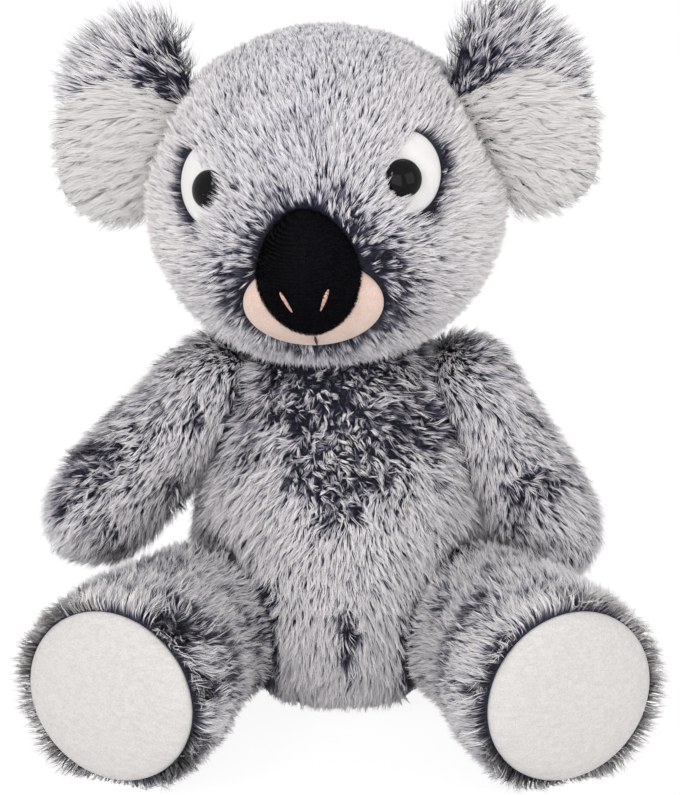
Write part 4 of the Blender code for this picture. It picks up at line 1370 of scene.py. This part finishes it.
# The torso: a pear-shaped plush cover over fibre, which is pressed in where the head sits in
# its top and where each limb lies against it. It rests on its flat seat.
neck_well_radius = 14.3 * MM
neck_well_floor = 103.4 * MM
torso_middle = np.array([0.0, 6.0, 62.0]) * MM
dent_step = 0.6 * MM
dent_most = 34.0 * MM
head_clear = 0.8 * MM
socket_clear = 2.0 * MM
fur_hidden = 1.2 * MM
chest_start = 76.0 * MM
chest_run = 16.0 * MM
chest_back = -6.0 * MM
torso_patch_size = 10.0 * MM
torso_coat = {**body_coat, "pull": 0.72, "roots": 0.24, "tips": 0.99, "tuft_tone": 0.36}
torso_parted = (
    # Place and radius in millimetres, and strength: the chest, its lowest swirl, the belly's line
    ((-21.5, -22.9, 108.4), 8.0, 0.3), ((-13.2, -23.5, 115.4), 8.0, 0.3), ((6.6, -27.3, 113.0), 8.0, 0.3),
    ((-10.0, -27.9, 108.1), 8.0, 0.4), ((6.0, -29.0, 106.0), 10.0, 0.5), ((20.0, -26.0, 103.0), 10.0, 0.5),
    ((30.0, -20.0, 99.0), 8.0, 0.4), ((24.0, -26.0, 93.0), 7.0, 0.3), ((-1.6, -33.7, 97.0), 8.0, 0.5),
    ((12.0, -34.0, 95.0), 9.0, 0.5), ((3.3, -39.1, 84.0), 9.0, 0.7), ((-3.3, -42.0, 74.6), 6.0, 0.9),
    ((2.0, -42.0, 76.0), 5.0, 0.9), ((13.5, -36.9, 85.7), 7.0, 0.6), ((-11.0, -36.5, 86.6), 7.0, 0.6),
    ((2.3, -46.2, 42.0), 2.6, 1.3), ((2.3, -45.9, 38.0), 3.0, 1.5), ((2.3, -45.2, 34.0), 2.8, 1.5),
    ((2.3, -44.4, 30.0), 2.6, 1.5), ((2.3, -43.9, 26.0), 2.6, 1.5), ((2.3, -42.5, 22.0), 2.4, 1.4),
    ((2.4, -40.5, 18.0), 2.2, 1.2), ((2.4, -38.0, 14.0), 2.0, 1.0),
)


def in_neck_well(points, clear):
    """Whether places lie in the well that holds the neck's plug, widened by the clearance."""
    away = np.hypot(points[..., 0] - head_place[0], points[..., 1])
    return (away < neck_well_radius + clear) & (points[..., 2] > neck_well_floor - clear)


def inside_neighbour(points):
    """Whether places lie inside the head, the neck's well or a limb at any angle of its swing."""
    neighbours = [*swung, (inside_head, head_clear), (in_neck_well, 0.0)]
    return np.any([inside(points, clear) for inside, clear in neighbours], axis=0)


def ruffled_torso(points):
    """Patches all over, and a half over the chest, which fades out towards the belly."""
    chest = 0.5 * np.clip((points[:, 2] - chest_start) / chest_run, 0.0, 1.0) * (points[:, 1] < chest_back)
    return np.maximum(patches(0.35, torso_patch_size, 99)(points), chest)


def open_torso(points):
    """Whether the fur grows there: not in a limb's socket or the neck's dish."""
    kept = ~inside_head(points, fur_hidden)
    for name in side_names.values():
        for joint, radius in ((f"arm_{name}_raise", shoulder_radius), (f"leg_{name}_lift", hip_radius)):
            kept &= np.linalg.norm(points - joint_at[joint], axis=-1) > radius + socket_clear
    return kept


torso_grid = loft(torso_rows, 128)
torso_grid[..., 2] = np.maximum(torso_grid[..., 2], pressed_pile)
torso_grid = dent(torso_grid, inside_neighbour, unit(torso_middle - torso_grid), dent_step, dent_most)
skin("torso_cover", torso_grid, "torso", "grey_plush", backing, "torso_skin", "torso_stuffing", fill=0.8)
torso_panels = (("torso_fur_front", True, 4.1), ("torso_fur_back", False, 3.5))
for number, (name, front_half, per_mm2) in enumerate(torso_panels):
    grow_fur(
        name, "torso", "grey_plush", tipped_dye, torso_grid,
        lambda points: np.array([0.0, 0.0, -1.0]) + 0.0 * points,
        lambda points: open_torso(points) & ((points[:, 1] < 0.0) == front_half),
        {**torso_coat, "per_mm2": per_mm2}, 500 + number, torso_parted,
        ruffled=ruffled_torso, pressed=pressing(inside_head, *resting),
    )

# The fibre plug in the neck, and the woven pouch of pellets that weights the seat. Both are
# inside the covers.
plug_half = 13.8 * MM
plug_low = 103.8 * MM
plug_high = 116.2 * MM
plug_widths = ((0.02, 0.80), (0.15, 0.98), (0.5, 1.00), (0.85, 0.98), (0.98, 0.80))
pouch_half_sizes = (22.0 * MM, 18.0 * MM)
pouch_back = 10.0 * MM
pouch_low = 2.6 * MM
pouch_high = 20.0 * MM
pouch_widths = ((0.02, 0.72), (0.14, 0.92), (0.30, 0.97), (0.55, 0.86), (0.80, 0.60), (0.95, 0.30))
pouch_thread_pitch = 1.4 * MM


def sack(low, high, half_sizes, shift, widths, columns, wrinkle_height, wrinkle_size, seed):
    """A wrinkled round sack from one height to another, its widths at shares of its height."""
    table = [(low, 0.0, 0.0, *shift)]
    for share, width in widths:
        table.append((low + share * (high - low), width * half_sizes[0], width * half_sizes[1], *shift))
    table.append((high, 0.0, 0.0, *shift))
    grid = loft(spline_rows(table, 6), columns)
    return grid + facings(grid) * (wrinkle_height * drift(grid, wrinkle_size, seed))[..., None]


wisps = (2.5 * MM, 6.0)
fibre = flecked("fibre_fill", 0.95, wisps, (205, 205, 203), (236, 236, 234), wisps, 0.8 * MM, sheen=0.3)
plug_grid = sack(
    plug_low, plug_high, (plug_half, plug_half), (head_place[0], 0.0), plug_widths, 48,
    0.25 * MM, 3.0 * MM, 71,
)
down = np.array([0.0, 0.0, -1.0])
plug_grid = dent(plug_grid, lambda points: inside_head(points, gap), down, 0.2 * MM, 8.0 * MM)
skin("neck_plug", plug_grid, "neck", "fibre_fill", fibre, "neck_stuffing", fill=0.7)

pouch_cloth, tree, shader = new_finish("pouch_cloth", 0.9)
where = node(tree, "TexCoord").outputs["Object"]
warp, weft = (
    node(
        tree, "TexWave", {"bands_direction": way, "wave_profile": "SIN"},
        Vector=where, Scale=0.5 / pouch_thread_pitch,
    ).outputs[0]
    for way in ("X", "Y")
)
weave = blended(tree, "MULTIPLY", 1.0, warp, weft)
link(tree, ramp(tree, weave, (0.1, (176, 168, 152)), (0.8, (214, 208, 194))), shader.inputs["Base Color"])
raised(tree, shader, weave, 0.2 * MM)
pouch_grid = sack(
    pouch_low, pouch_high, pouch_half_sizes, (0.0, pouch_back), pouch_widths, 64,
    0.35 * MM, 5.0 * MM, 81,
)
skin("pellet_pouch_cloth", pouch_grid, "torso", "pouch_cloth", pouch_cloth, "pellet_pouch", fill=0.6)
